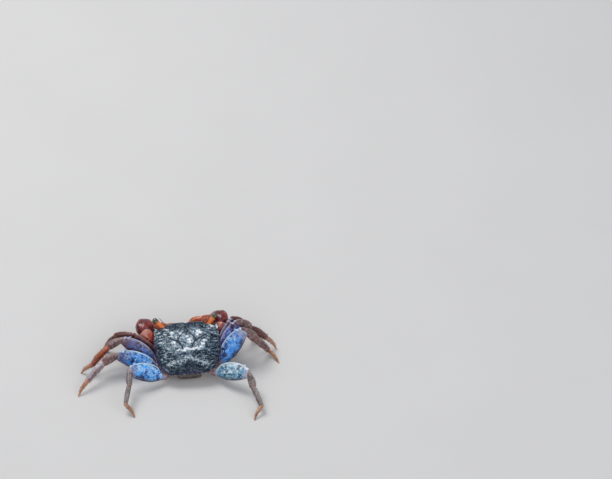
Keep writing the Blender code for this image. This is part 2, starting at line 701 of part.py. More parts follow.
def build_underside(parts, cutters):
    """The breastplate with the mouth frame, the folded tail and the outer mouthparts."""
    rings = []
    top = UNDERSIDE - GAP
    for forward, wide, bottom in BREAST_PATH:
        half = (top - bottom) / 2
        points = ring(
            Vector((0, 0, top - half)), Vector((1, 0, 0)), Vector((0, 0, 1)), wide, half, half,
            16, 4.0,
        )
        rings.append([on_body(p.x, forward, p.z) for p in points])
    breast = loft("sternum", rings, "underside", parts)
    loft("abdomen", tail_rings(), "shell", parts)
    room = as_cutter(loft("room for abdomen", tail_rings(GAP), "shell", cutters))
    cut(breast, room, "MANIFOLD")
    for side in ("left", "right"):
        outwards = 1 if side == "left" else -1
        root = on_body(outwards * MOUTH_ROOT[0], *MOUTH_ROOT[1:])
        tip = on_body(outwards * MOUTH_TIP[0], *MOUTH_TIP[1:])
        mouthpart = Limb(
            f"mouthpart_{side}", root, tip, (root + tip) / 2, Vector((-outwards, 0, 0)),
            MOUTH_HALF, MOUTH_SHAPE, "underside",
        )
        mouthpart.solid(parts)
        cut(breast, mouthpart.cutter(cutters), "MANIFOLD")
    return breast


def main():
    clear_scene()
    parts = collection("mangrove_crab")
    cutters = collection("cutters", hidden=True)
    shell = build_shell(parts, cutters)
    breast = build_underside(parts, cutters)
    for side in ("left", "right"):
        cut(shell, build_eye(side, parts, cutters), "MANIFOLD")
        build_feeler(side, parts)
        for number in LEG_SIZES:
            cut(breast, build_leg(side, number, parts, cutters), "MANIFOLD")
        arm_room = build_claw(side, parts, cutters)
        cut(breast, arm_room, "MANIFOLD")
        cut(shell, arm_room, "MANIFOLD")


main()
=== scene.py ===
import math
import random

import bmesh
import bpy
import numpy as np
from mathutils import Matrix, Vector, noise


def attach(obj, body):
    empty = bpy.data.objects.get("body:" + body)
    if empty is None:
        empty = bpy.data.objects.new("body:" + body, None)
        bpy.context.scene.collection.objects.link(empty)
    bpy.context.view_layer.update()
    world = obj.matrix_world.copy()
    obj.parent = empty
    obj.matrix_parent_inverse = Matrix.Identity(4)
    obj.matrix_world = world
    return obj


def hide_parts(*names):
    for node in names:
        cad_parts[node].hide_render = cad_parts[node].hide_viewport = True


# The looks of the mangrove crab. It faces -Y, its left side is +X and the floor is z = 0. Sizes
# are in millimetres until a mesh gets its points, and all seeds are fixed. Body places are
# (sideways, forward, up) in the shell's own frame, which is tipped nose up and to its left.

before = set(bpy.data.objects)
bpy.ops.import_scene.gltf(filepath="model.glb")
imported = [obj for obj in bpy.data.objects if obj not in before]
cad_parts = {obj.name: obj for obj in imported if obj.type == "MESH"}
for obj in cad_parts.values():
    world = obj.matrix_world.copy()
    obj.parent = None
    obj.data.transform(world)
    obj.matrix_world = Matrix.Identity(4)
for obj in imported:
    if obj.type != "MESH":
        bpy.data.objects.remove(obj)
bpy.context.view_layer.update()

MM = 0.001
PLACE = np.array((-5.7, -9.78, 0.0))  # the middle of the shell, on the floor
NOSE_UP = math.radians(7.0)
LEFT_DOWN = math.radians(2.5)
TILT = np.array(Matrix.Rotation(LEFT_DOWN, 3, "Y") @ Matrix.Rotation(-NOSE_UP, 3, "X"))
SIDES = {"left": 1, "right": -1}

# Outline of the shell: (forward, half width), then (share of the half width, forward)
SIDE_EDGE = (
    (13.4, 16.9), (12.8, 16.2), (11.9, 16.2), (10.9, 17.1), (10.3, 16.6), (9.4, 16.6),
    (6.0, 17.0), (0.0, 17.1), (-5.0, 16.8), (-9.0, 15.7), (-12.0, 13.1), (-14.0, 10.2),
)
FRONT_EDGE = (
    (0.0, 14.2), (0.1, 14.7), (0.3, 14.8), (0.48, 14.5), (0.58, 13.8),
    (0.64, 12.8), (0.8, 12.3), (0.92, 12.7), (1.0, 13.4),
)
REAR_EDGE = ((0.0, -14.5), (0.5, -14.6), (1.0, -14.0))
# Heights of the shell: (forward, up)
EDGE_HEIGHT = (
    (13.4, 13.2), (10.9, 13.4), (5.0, 13.5), (0.0, 13.3), (-5.0, 12.6), (-9.0, 11.4),
    (-12.0, 10.2), (-14.0, 9.3),
)
MIDDLE_HEIGHT = (
    (14.8, 14.4), (13.0, 15.3), (10.0, 16.2), (5.0, 17.1), (0.0, 17.3), (-4.0, 17.0),
    (-8.0, 15.8), (-11.0, 13.7), (-13.0, 11.3), (-14.5, 9.6),
)
# Swellings and hollows of the top on each side: sideways, forward, half width, half depth, rise
REGIONS = (
    (2.6, 13.4, 1.6, 1.4, 0.55), (7.2, 13.0, 1.8, 1.4, 0.5), (0.0, 12.6, 1.0, 3.0, -0.6),
    (5.2, 7.2, 2.8, 2.6, 0.35), (0.0, 3.8, 2.6, 3.0, 0.35), (0.0, -4.6, 3.2, 2.4, 0.4),
    (10.5, -1.0, 3.6, 5.0, 0.3), (6.4, 0.6, 1.2, 3.4, -0.45), (4.6, -6.2, 1.2, 2.2, -0.4),
)
# Walls below the edge, in four steps down: how far out, and how far below the edge
WALLS = {
    "side": ((0.0, 0.0), (0.15, 0.5), (-0.5, 2.0), (-1.8, 3.8)),
    "brow": ((0.0, 0.0), (0.5, 1.0), (0.6, 2.4), (-0.3, 3.3)),
    "socket": ((0.0, 0.0), (-0.2, 0.5), (-0.6, 1.4), (0.3, 2.8)),
}
# The least height of each step above the lower face, as a share of the edge's own
WALL_LEAST = (1.0, 0.9, 0.6, 0.25)
UNDERSIDE = 8.0  # height of the shell's lower face
WALL_FOOT = -3.0  # how far out the foot of every wall is
# Shares across the front edge where the brow passes into the eye socket, and the socket ends
SOCKET_START = (0.56, 0.64)
SOCKET_END = (0.93, 0.99)
SOCKET_CENTRE = (13.3, 14.6, 13.0)
SOCKET_RADII = (3.2, 2.8, 1.9)
SOCKET_FACES = (48, 32)
# Rows of beads along the walls: from bead to bead, width, then each row's share down and height
BEAD_PITCH = 0.75
BEAD_WIDTH = 0.03
BEAD_ROWS = ((0.1, 0.1), (0.5, 0.13))
# Faces of the shell: columns and rows of its top, and rings down its wall
COLUMNS = 172
ROWS = 150
WALL_STEPS = 20
WALL_SHARES = np.linspace(0, 1, WALL_STEPS + 1)[1:]
# How square the top is across, how near the edge its regions reach, and how far its skin sinks
SHELL_ROUND = 2.6
REGION_REACH = 6
SHELL_SINK = 0.05
# How far the grooves wander, half width of an oblique line, and lean and size of the streaks
GROOVE_WANDER = 0.22
STRIA_HALF = 0.2
STREAK_LEAN = 0.34
STREAK_SIZE = (2.6, 0.42)
# How the marks look: drift of their edges, firmness, depth of a groove whose painted shade is full, width
# of the purple rim as a share on the left and right, and how worn the beads are
MARK_DRIFT = 0.9
MARK_EDGE = 1.4
SHADED_GROOVE_DEPTH = 0.3
RIM_WIDTHS = (0.125, 0.07)
BEAD_WEAR = 1.6

# Grooves of the shell on one side: width, depth, then (sideways, forward) places
GROOVES = (
    (0.35, 0.34, ((0.2, 9.6), (0.9, 7.6), (2.6, 5.2), (4.3, 3.0), (4.6, 1.6))),
    (0.40, 0.36, ((9.6, 5.0), (7.6, 3.2), (5.6, 2.2), (4.0, 0.2), (2.7, -2.0), (2.3, -3.6))),
    (0.35, 0.2, ((9.4, 2.4), (7.4, 1.4), (6.2, -1.0), (5.9, -3.4))),
    (0.70, 0.15, ((0.0, -6.3), (2.4, -6.5), (5.4, -6.4), (8.4, -7.2))),
    (0.30, 0.28, ((5.0, 13.6), (4.9, 11.6), (5.6, 10.0))),
    (0.35, 0.22, ((16.0, 9.4), (12.6, 7.6), (10.2, 5.4))),
    (0.35, 0.20, ((0.0, -11.3), (4.0, -11.8), (7.6, -12.7), (9.4, -13.4))),
)
# Raised oblique lines at the sides, from their outer ends inwards
STRIAE = (
    ((16.7, 8.2), (13.2, 6.9), (11.4, 6.6)), ((16.8, 6.3), (13.6, 4.9), (10.2, 4.4)),
    ((16.9, 4.1), (14.4, 2.7), (12.0, 2.2)), ((17.0, 2.0), (13.2, 0.4), (10.6, -0.2)),
    ((16.9, -0.4), (14.6, -1.9), (12.2, -2.6)), ((16.7, -2.9), (13.8, -4.6), (11.2, -5.3)),
    ((16.2, -5.6), (14.0, -7.0), (12.2, -7.6)),
)
# Pale marks of the shell, partly its pale pattern and partly painted sky reflection, where +sideways
# is the crab's left: sideways, forward, half sizes, turn and force
PALE_MARKS = (
    (-6.8, 6.6, 2.2, 1.5, 0.2, 1.25), (-5.4, 4.6, 1.1, 1.3, 0.0, 1.1), (-4.0, 6.5, 1.4, 0.7, 0.2, 0.8),
    (2.8, 5.6, 1.2, 1.0, 0.3, 1.15), (7.2, 7.4, 1.7, 1.1, 0.6, 1.1), (4.6, 7.8, 0.7, 1.2, 0.2, 0.75),
    (10.8, 10.6, 1.9, 1.0, 0.4, 1.0), (-0.2, 3.6, 1.4, 0.9, 0.0, 1.0), (-1.6, 2.0, 1.7, 1.4, 0.0, 1.05),
    (-1.7, 0.1, 1.5, 1.2, 0.0, 0.95), (7.0, 0.8, 1.7, 1.2, 0.3, 1.1), (6.2, -1.4, 1.6, 0.9, 0.2, 0.95),
    (5.2, 4.0, 1.0, 0.8, 0.6, 0.95), (4.4, -4.2, 1.3, 0.8, 0.0, 0.9), (2.0, -4.6, 1.6, 0.8, 0.0, 1.15),
    (0.0, -3.8, 1.7, 0.7, 0.0, 1.0), (-2.3, -4.1, 1.7, 0.7, 0.0, 1.1), (-5.2, -3.9, 2.0, 0.7, 0.0, 1.0),
    (-7.4, -2.9, 1.4, 0.9, 0.5, 1.05), (-8.3, -1.2, 1.6, 1.1, 0.4, 1.0), (-9.4, 0.8, 1.8, 1.0, 0.3, 0.9),
    (-1.0, -8.5, 1.6, 0.8, 0.0, 0.7), (9.2, -10.2, 2.0, 0.8, 0.2, 0.75), (14.6, 9.2, 1.8, 0.5, 0.2, 0.8),
    (-10.2, -10.8, 2.0, 0.7, -0.4, 0.7), (-13.2, 11.2, 2.0, 1.0, 0.3, 1.0), (4.0, -2.9, 1.0, 0.9, 0.0, 0.5),
    (-16.2, 11.6, 0.9, 1.6, 0.1, 1.4), (16.2, 11.6, 1.0, 1.8, 0.1, 1.4), (8.8, 4.9, 2.4, 0.6, 0.3, 0.85),
    (10.6, 7.4, 1.9, 0.6, 0.3, 0.8), (12.4, 2.0, 2.8, 0.5, 0.25, 0.75), (-11.6, 3.2, 1.4, 2.0, 0.2, 0.45),
    (-7.5, -12.6, 1.0, 0.4, 0.1, 0.5), (13.6, 6.4, 2.2, 0.5, 0.25, 0.75), (9.0, -4.4, 2.0, 0.6, 0.2, 0.5),
    (11.6, -1.4, 2.2, 0.5, 0.25, 0.55), (-12.0, 7.4, 1.4, 0.9, 0.0, 0.5), (3.4, 12.2, 1.8, 0.7, 0.0, 0.35),
    (-3.6, 12.0, 1.8, 0.7, 0.0, 0.35), (13.4, -7.0, 1.6, 0.6, 0.3, 0.4), (2.8, -12.2, 1.2, 0.3, 0.1, 0.5),
    (-0.6, -11.0, 0.8, 0.3, 0.0, 0.55), (-3.8, -12.6, 1.2, 0.3, 0.0, 0.5),
)
# The pale chevron across the rear of the shell
CHEVRON = (
    (10.4, -10.2), (8.0, -10.1), (4.9, -9.7), (1.7, -9.1), (-1.0, -8.2), (-3.6, -9.1), (-6.8, -10.3),
    (-10.4, -11.0),
)
CHEVRON_HALF = 1.2
CHEVRON_FORCE = 0.66

# The walking legs: place of the hip, place of the merus root, scale, and breadth of the merus
LEG_SIZES = {
    1: ((9.8, 4.3, 4.2), (16.3, 3.8, 3.9), 0.88, 1.0),
    2: ((10.2, 0.2, 4.9), (17.9, -0.7, 4.7), 0.97, 1.0),
    3: ((10.0, -4.2, 5.1), (17.1, -6.4, 5.5), 1.0, 1.08),
    4: ((8.4, -8.8, 5.5), (13.8, -12.6, 6.4), 0.9, 1.22),
}
LEG_LENGTHS = {"merus": 20.8, "carpus": 8.6, "propodus": 13.0, "dactylus": 9.0}
# Half thickness and half width of each piece, and how far it bows upwards
LEG_HALVES = {
    "hip": (1.75, 2.5), "merus": (1.8, 4.3), "carpus": (1.7, 2.4), "propodus": (1.25, 1.95),
    "dactylus": (0.85, 1.2),
}
LEG_BOWS = {"hip": 0.0, "merus": 0.5, "carpus": 0.4, "propodus": 0.3, "dactylus": 0.7}
# Degrees forward of straight out, and above level, of the merus, carpus and propodus, then the
# heading of the dactylus, which slopes down to the floor
LEG_POSES = {
    ("left", 1): ((21, 34), (12, -22), (4, -62), -34),
    ("left", 2): ((17, 36), (-11, -23), (-36, -29), 4),
    ("left", 3): ((11, 21), (-18, -16), (-43, -19), -50),
    ("left", 4): ((-4, 23), (-86, -30), (-77, -12), -134),
    ("right", 1): ((40, 56), (20, -52), (18, -62), -20),
    ("right", 2): ((37, 56), (8, -46), (4, -46), -20),
    ("right", 3): ((34, 45), (-12, -46), (16, -57), -54),
    ("right", 4): ((-25, 18), (-72, -34), (-71, -15), -124),
}
STEEPEST_TOE = 0.98  # share of a toe's length that it can reach down
# Degrees that a leg's upper edge leans forward
LEG_LEAN = {1: 4.0, 2: 22.0, 3: 36.0, 4: 46.0}
# Share of the length, then shares of the half thickness and of the half width above and below
SHAPES = {
    "hip": (
        (-0.34, 0.45, 0.45, 0.45), (-0.2, 0.85, 0.85, 0.85), (0.0, 1.0, 1.0, 1.0),
        (0.4, 0.9, 0.86, 0.86), (0.72, 0.98, 0.98, 0.98), (0.86, 1.02, 1.06, 1.04),
        (0.95, 0.98, 1.0, 0.98),
    ),
    "merus": (
        (-0.08, 0.4, 0.16, 0.16), (-0.035, 0.8, 0.34, 0.34), (0.05, 0.92, 0.5, 0.48),
        (0.18, 1.0, 0.76, 0.76), (0.36, 1.0, 0.96, 0.98), (0.55, 1.0, 1.0, 1.0),
        (0.72, 0.98, 0.92, 0.92), (0.84, 0.95, 0.8, 0.8), (0.885, 0.92, 0.92, 0.74),
        (0.91, 0.92, 0.68, 0.7), (0.96, 0.88, 0.6, 0.62), (1.005, 0.74, 0.46, 0.48),
    ),
    "carpus": (
        (-0.2, 0.45, 0.34, 0.34), (-0.08, 0.82, 0.64, 0.64), (0.08, 0.86, 0.7, 0.7),
        (0.32, 0.92, 0.9, 0.82), (0.6, 1.0, 1.05, 0.94), (0.85, 1.0, 1.0, 0.92),
        (0.96, 0.94, 0.88, 0.84), (1.03, 0.74, 0.64, 0.62),
    ),
    "propodus": (
        (-0.12, 0.5, 0.38, 0.38), (-0.04, 0.85, 0.72, 0.72), (0.1, 1.0, 0.9, 0.9),
        (0.4, 1.0, 1.05, 1.0), (0.75, 0.94, 0.88, 0.88), (0.97, 0.86, 0.76, 0.76),
        (1.04, 0.62, 0.52, 0.52),
    ),
    "dactylus": (
        (-0.12, 0.5, 0.46, 0.46), (-0.03, 0.88, 0.84, 0.84), (0.12, 1.0, 1.0, 1.0),
        (0.4, 0.84, 0.84, 0.84), (0.68, 0.62, 0.62, 0.62), (0.88, 0.45, 0.44, 0.44),
        (1.0, 0.4, 0.3, 0.3),
    ),
    "arm": (
        (-0.12, 0.3, 0.24, 0.24), (-0.06, 0.55, 0.45, 0.45), (0.08, 0.62, 0.5, 0.5),
        (0.3, 0.6, 0.5, 0.54), (0.5, 0.74, 0.68, 0.7), (0.75, 0.92, 0.92, 0.9),
        (0.92, 1.0, 1.0, 1.0), (1.02, 0.9, 0.88, 0.88),
    ),
    "wrist": (
        (-0.28, 0.3, 0.3, 0.3), (-0.16, 0.6, 0.6, 0.6), (0.05, 0.8, 0.84, 0.8),
        (0.3, 0.95, 1.02, 0.94), (0.62, 1.02, 1.08, 0.98), (0.88, 0.96, 0.98, 0.9),
        (1.0, 0.8, 0.78, 0.76), (1.1, 0.56, 0.56, 0.56),
    ),
    "palm": (
        (-0.1, 0.34, 0.3, 0.3), (-0.05, 0.66, 0.64, 0.62), (0.05, 0.86, 0.84, 0.8),
        (0.2, 1.0, 0.97, 0.94), (0.36, 1.0, 1.0, 0.98), (0.47, 0.92, 0.92, 0.94),
        (0.54, 0.8, 0.42, 0.88), (0.6, 0.66, 0.02, 0.82), (0.72, 0.54, -0.1, 0.68),
        (0.85, 0.42, -0.06, 0.46), (0.95, 0.28, 0.04, 0.22), (1.0, 0.1, 0.08, 0.04),
    ),
    "finger": (
        (-0.14, 0.4, 0.4, 0.4), (-0.06, 0.8, 0.8, 0.8), (0.08, 1.0, 1.0, 1.0),
        (0.3, 0.95, 1.0, 0.82), (0.55, 0.8, 0.86, 0.62), (0.78, 0.58, 0.6, 0.44),
        (0.92, 0.36, 0.36, 0.3), (1.0, 0.14, 0.14, 0.12),
    ),
    "stalk": (
        (-0.2, 0.6, 0.6, 0.6), (0.0, 0.9, 0.9, 0.9), (0.35, 0.9, 0.9, 0.9),
        (0.7, 1.0, 1.0, 1.0), (1.0, 1.1, 1.1, 1.1),
    ),
    "mouthpart": (
        (-0.1, 0.5, 0.5, 0.5), (0.05, 1.0, 0.85, 0.8), (0.35, 1.0, 1.0, 0.95),
        (0.5, 0.8, 0.9, 0.9), (0.62, 1.0, 1.0, 0.95), (0.9, 1.0, 0.8, 0.8), (1.05, 0.5, 0.4, 0.4),
    ),
}

# The claws: (sideways outwards, forward, up) from the middle of the shell on the floor
CLAWS = {
    "left": {
        "hip": (9.2, 9.8, 6.4), "elbow": (16.8, 6.0, 7.4), "wrist": (22.7, 11.7, 11.6),
        "wrist_bulge": (22.5, 15.4, 12.3), "knuckle": (20.0, 17.4, 9.2),
        "palm_root": (19.1, 17.4, 6.7), "tip": (2.4, 18.4, 2.0),
    },
    "right": {
        "hip": (9.2, 9.8, 6.8), "elbow": (15.2, 6.4, 7.8), "wrist": (18.3, 13.4, 13.4),
        "wrist_bulge": (17.4, 16.9, 13.8), "knuckle": (16.0, 19.0, 10.8),
        "palm_root": (15.7, 19.2, 8.8), "tip": (1.8, 21.8, 2.3),
    },
}
# Half thickness and half width of each piece
CLAW_HALVES = {"arm": (3.4, 3.5), "wrist": (4.3, 4.5), "palm": (3.5, 4.4), "finger": (1.75, 2.0)}
# The movable finger: its hinge on the palm, its bow, and its tip above and beyond the palm's
HINGE_SHARE = 0.5
HINGE_LIFT = 2.3
FINGER_BOW = 1.3
FINGER_TIP_LIFT = 0.85
FINGER_TIP_AHEAD = 0.3
PALM_BOW = np.array((0, -1.2, 0))  # the palm bows forward

# The eyes
STALK_ROOT = (10.9, 12.4, 12.7)
STALK_TIP = (14.7, 15.5, 15.5)
STALK_HALF = (1.15, 1.15)
EYE_RADIUS = 1.5
EYE_LENGTH = 1.9
EYE_SINK = 1.0  # how far the ball reaches back over its stalk
EYE_FACES = (64, 48)

# The folded tail, from its root under the hind edge: forward, up, half width, half thickness
TAIL_PATH = (
    (-11.2, 7.2, 5.4, 0.45), (-12.6, 7.0, 5.9, 0.55), (-13.4, 6.2, 6.0, 0.6),
    (-13.5, 5.0, 5.9, 0.65), (-12.8, 3.9, 5.8, 0.65), (-11.2, 3.1, 5.6, 0.65),
    (-8.0, 2.7, 5.0, 0.6), (-4.0, 2.6, 4.2, 0.6), (0.0, 2.6, 3.2, 0.55), (3.4, 2.7, 1.9, 0.5),
    (5.0, 2.8, 0.8, 0.4),
)
TAIL_SEAMS = np.array((0.12, 0.27, 0.42, 0.56, 0.7, 0.84))  # shares of the tail's length
TAIL_SQUARE = 2.7  # how square its section is
TAIL_RINGS = 110
TAIL_SIDES = 72
# The breastplate: forward, half width, lower face
BREAST_PATH = (
    (-11.6, 5.2, 5.8), (-10.6, 6.4, 4.5), (-8.0, 8.4, 3.4), (-3.0, 9.0, 3.0),
    (3.0, 9.2, 3.0), (7.6, 9.2, 3.3), (10.4, 8.8, 4.6), (12.2, 8.4, 6.2), (12.8, 8.0, 7.0),
)
BREAST_SEAMS = (7.6, 2.4, -2.0, -6.4, -9.6)
BREAST_SQUARE = 3.4  # how square its section is
BREAST_RINGS = 130
BREAST_SIDES = 96
BREAST_GAP = 0.1  # below the shell's lower face
# The outer mouthparts and the feelers
MOUTH_ROOT = (3.3, 8.4, 3.3)
MOUTH_TIP = (3.0, 13.0, 7.6)
MOUTH_HALF = (0.8, 2.5)
FEELER_PATH = ((9.4, 14.6, 11.0), (10.6, 16.4, 11.6), (12.0, 18.0, 12.4), (13.4, 19.4, 13.6))
FEELER_RADIUS = 0.34
FEELER_RINGS = 26
FEELER_STATIONS = 120
FEELER_SIDES = 14

# Skins of limbs: millimetres from vertex to vertex, sides, and how the ends are closed
SKIN_SPACING = 0.22
CLAW_SPACING = 0.2
MOUTH_SPACING = 0.16
STALK_SPACING = 0.12
FEWEST_RINGS = 8
FEWEST_SIDES = 16
GIRTH_SLACK = 1.05  # a flattened section's girth, beside a round one's
SIDE_DENSITY = 0.9  # vertices round a limb, beside those along it
ROOT_FADE = 0.06  # share of the length over which the relief begins
ROOT_DOME = 0.2
TIP_DOME = 0.4
DOME_RINGS = 4
FLAT_END = (0.02, 6)  # depth of a dome as a share of its width, and its rings
CUP_RINGS = 5
CUP_LIP = (0.93, 0.12)  # share of the width, and millimetres beyond the end
CUP_MOUTH = 0.84

# Hairs: radius, depth of the root in the skin, and the middle ring's share of length, radius
# and curl
HAIR_RADIUS = 0.035
HAIR_ROOT = 0.12
HAIR_MIDDLE = 0.55
HAIR_TAPER = 0.7
HAIR_BEND = 0.3
HAIR_POINTS = 7
HAIR_FACES = np.array((
    (0, 2, 1), (0, 1, 4), (0, 4, 3), (1, 2, 5), (1, 5, 4), (2, 0, 3), (2, 3, 5),
    (3, 4, 6), (4, 5, 6), (5, 3, 6),
))
HAIR_UNWRAP = 0.003 * np.array((
    (0, 0), (1, 0), (0.5, 0.3), (0, 0.6), (1, 0.6), (0.5, 0.8), (0.5, 1.0),
))
ABOVE_FLOOR = 0.02
HAIR_STRAY = 7  # degrees from its row
HAIR_LEAN = 0.55  # towards the limb's tip
HAIR_JITTER = 0.16  # random steps of its direction
HAIR_CURL = 0.1  # random steps of its tip, as shares of its length
HAIR_SHORTEST, HAIR_RANGE = 0.6, 0.7  # shares of the length that its row gives
UNWRAP_FILL = (0.95, 0.98)  # how much of a limb's strip of the unwrap its hairs cover
# Rows of hairs: piece, degrees round it, start and end along it, how many, and their length
LEG_HAIRS = (
    ("merus", 90, 0.15, 0.9, 26, 0.5), ("merus", 235, 0.2, 0.9, 14, 0.5),
    ("merus", 305, 0.2, 0.9, 14, 0.5), ("carpus", 90, 0.1, 0.95, 16, 0.7),
    ("carpus", 35, 0.1, 0.95, 12, 0.6), ("carpus", 145, 0.1, 0.95, 12, 0.6),
    ("propodus", 90, 0.1, 1.0, 40, 0.95), ("propodus", 270, 0.1, 1.0, 34, 0.85),
    ("propodus", 40, 0.1, 1.0, 18, 0.7), ("propodus", 140, 0.1, 1.0, 18, 0.7),
    ("dactylus", 90, 0.05, 0.75, 30, 0.55), ("dactylus", 270, 0.05, 0.7, 26, 0.45),
)
CLAW_HAIRS = (
    ("arm", 90, 0.4, 0.95, 40, 0.9), ("wrist", 200, 0.2, 0.9, 30, 0.8),
    ("palm", 270, 0.1, 0.5, 20, 0.5),
)


# Numbers

TINY = 1e-9
GRAIN_REACH = 0.55  # how far a grain spreads towards its neighbours


def unit(vectors):
    """The same directions, one millimetre long."""
    return vectors / np.maximum(np.linalg.norm(vectors, axis=-1, keepdims=True), TINY)


def turns_round(sides):
    """Even turns round a piece."""
    return np.arange(sides) * 2 * math.pi / sides


def curve_through(table, at, column=1):
    """Smooth values through a table's rows, with no overshoot."""
    rows = sorted(table)
    places = np.array([row[0] for row in rows], float)
    values = np.array([row[column] for row in rows], float)
    at = np.clip(at, places[0], places[-1])
    gaps = np.diff(places)
    rises = np.diff(values) / gaps
    slopes = np.zeros_like(values)
    both = rises[:-1] * rises[1:]
    shared = np.where(np.abs(rises[:-1] + rises[1:]) > TINY, rises[:-1] + rises[1:], 1.0)
    slopes[1:-1] = np.where(both > 0, 2 * both / shared, 0.0)
    slopes[0], slopes[-1] = rises[0], rises[-1]
    cell = np.clip(np.searchsorted(places, at, side="right") - 1, 0, len(gaps) - 1)
    t = (at - places[cell]) / gaps[cell]
    gap = gaps[cell]
    return (
        values[cell] * (1 + 2 * t) * (1 - t) ** 2 + slopes[cell] * gap * t * (1 - t) ** 2
        + values[cell + 1] * t * t * (3 - 2 * t) + slopes[cell + 1] * gap * t * t * (t - 1)
    )


def line_through(table, at):
    """Straight lines through a table's rows."""
    rows = sorted(table)
    return np.interp(at, [row[0] for row in rows], [row[1] for row in rows])


def step(values, low, high):
    """0 up to low, 1 from high on, and a smooth rise between them."""
    t = np.clip((values - low) / (high - low), 0, 1)
    return t * t * (3 - 2 * t)


def waves(points, size, seed=0.0):
    """Soft noise from -1 to 1 at places in millimetres, with features of one size."""
    flat = points.reshape(-1, 3) / size + seed
    return np.array([noise.noise(p) for p in flat.tolist()]).reshape(points.shape[:-1])


def grains(points, size, seed=0.0):
    """Rounded grains: 1 at the middle of each, 0 between them."""
    flat = points.reshape(-1, 3) / size + seed
    far = np.array([noise.voronoi(p)[0][0] for p in flat.tolist()]).reshape(points.shape[:-1])
    return np.clip(1 - (far / GRAIN_REACH) ** 2, 0, 1)


def on_body(places):
    """Places on the body, in millimetres from the origin on the floor."""
    places = np.asarray(places, float)
    turned = np.stack((places[..., 0], -places[..., 1], places[..., 2]), axis=-1)
    return turned @ TILT.T + PLACE


def on_floor_frame(sideways, forward, up):
    """A place from the middle of the shell on the floor, not tipped with the body."""
    return PLACE + np.array((sideways, -forward, up))


# Meshes

def deselect():
    """Clears the selection, before an operator adds or changes a piece."""
    for obj in bpy.context.selected_objects:
        obj.select_set(False)


def activate(obj):
    """Makes a piece the only selected one."""
    deselect()
    obj.select_set(True)
    bpy.context.view_layer.objects.active = obj


def read_places(obj):
    """The places of a mesh's vertices, as rows."""
    places = np.empty(len(obj.data.vertices) * 3, np.float32)
    obj.data.vertices.foreach_get("co", places)
    return places.reshape(-1, 3)


def write_places(obj, places):
    """Moves a mesh's vertices to places in metres."""
    obj.data.vertices.foreach_set("co", np.asarray(places, np.float32).ravel())
    obj.data.update()


def set_attribute(obj, name, values):
    """One number for each vertex, for the materials to read."""
    layer = obj.data.attributes.new(name, "FLOAT", "POINT")
    layer.data.foreach_set("value", np.asarray(values, np.float32))


def finish_piece(obj, paint, slot, node=None, angle=40.0):
    """Material, smooth faces, and its place in the frame."""
    obj.data.materials.clear()
    obj.data.materials.append(paint)
    activate(obj)
    bpy.ops.object.shade_smooth_by_angle(angle=math.radians(angle))
    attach(obj, "root")
    if node:
        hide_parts(node)
    return obj


def add_ball(name, faces, size, centre, turn):
    """A ball primitive stretched to a size, turned, and moved to its centre on the crab."""
    sides, rings = faces
    deselect()
    bpy.ops.mesh.primitive_uv_sphere_add(segments=sides, ring_count=rings, radius=1.0)
    ball = bpy.context.object
    ball.name = ball.data.name = name
    stretch = Matrix.Diagonal((*size, 1))
    ball.data.transform(
        Matrix.Scale(MM, 4) @ Matrix.Translation(Vector(centre)) @ turn.to_4x4() @ stretch
    )
    return ball


def sphere_skin(name, rings, poles):
    """A ball primitive whose rings are moved to these (rings, sides, 3) places, root to tip.

    Returns the object, and for each vertex its ring and its side. A pole has its nearest ring.
    """
    count, sides = rings.shape[:2]
    deselect()
    bpy.ops.mesh.primitive_uv_sphere_add(segments=sides, ring_count=count + 1, radius=1.0)
    obj = bpy.context.object
    obj.name = obj.data.name = name
    ball = read_places(obj)
    level = np.arcsin(np.clip(ball[:, 2], -1, 1)) / math.pi + 0.5
    row = np.rint(level * (count + 1)).astype(int) - 1
    side = np.rint(np.arctan2(ball[:, 1], ball[:, 0]) / (2 * math.pi) * sides).astype(int) % sides
    nearest = np.clip(row, 0, count - 1)
    places = rings[nearest, side]
    places[row < 0] = poles[0]
    places[row >= count] = poles[1]
    write_places(obj, places * MM)
    return obj, nearest, side


def normals_of(rings):
    """Outward directions on a tube of rings."""
    around = np.roll(rings, -1, axis=1) - np.roll(rings, 1, axis=1)
    onward = np.gradient(rings, axis=0)
    return unit(np.cross(around, onward))


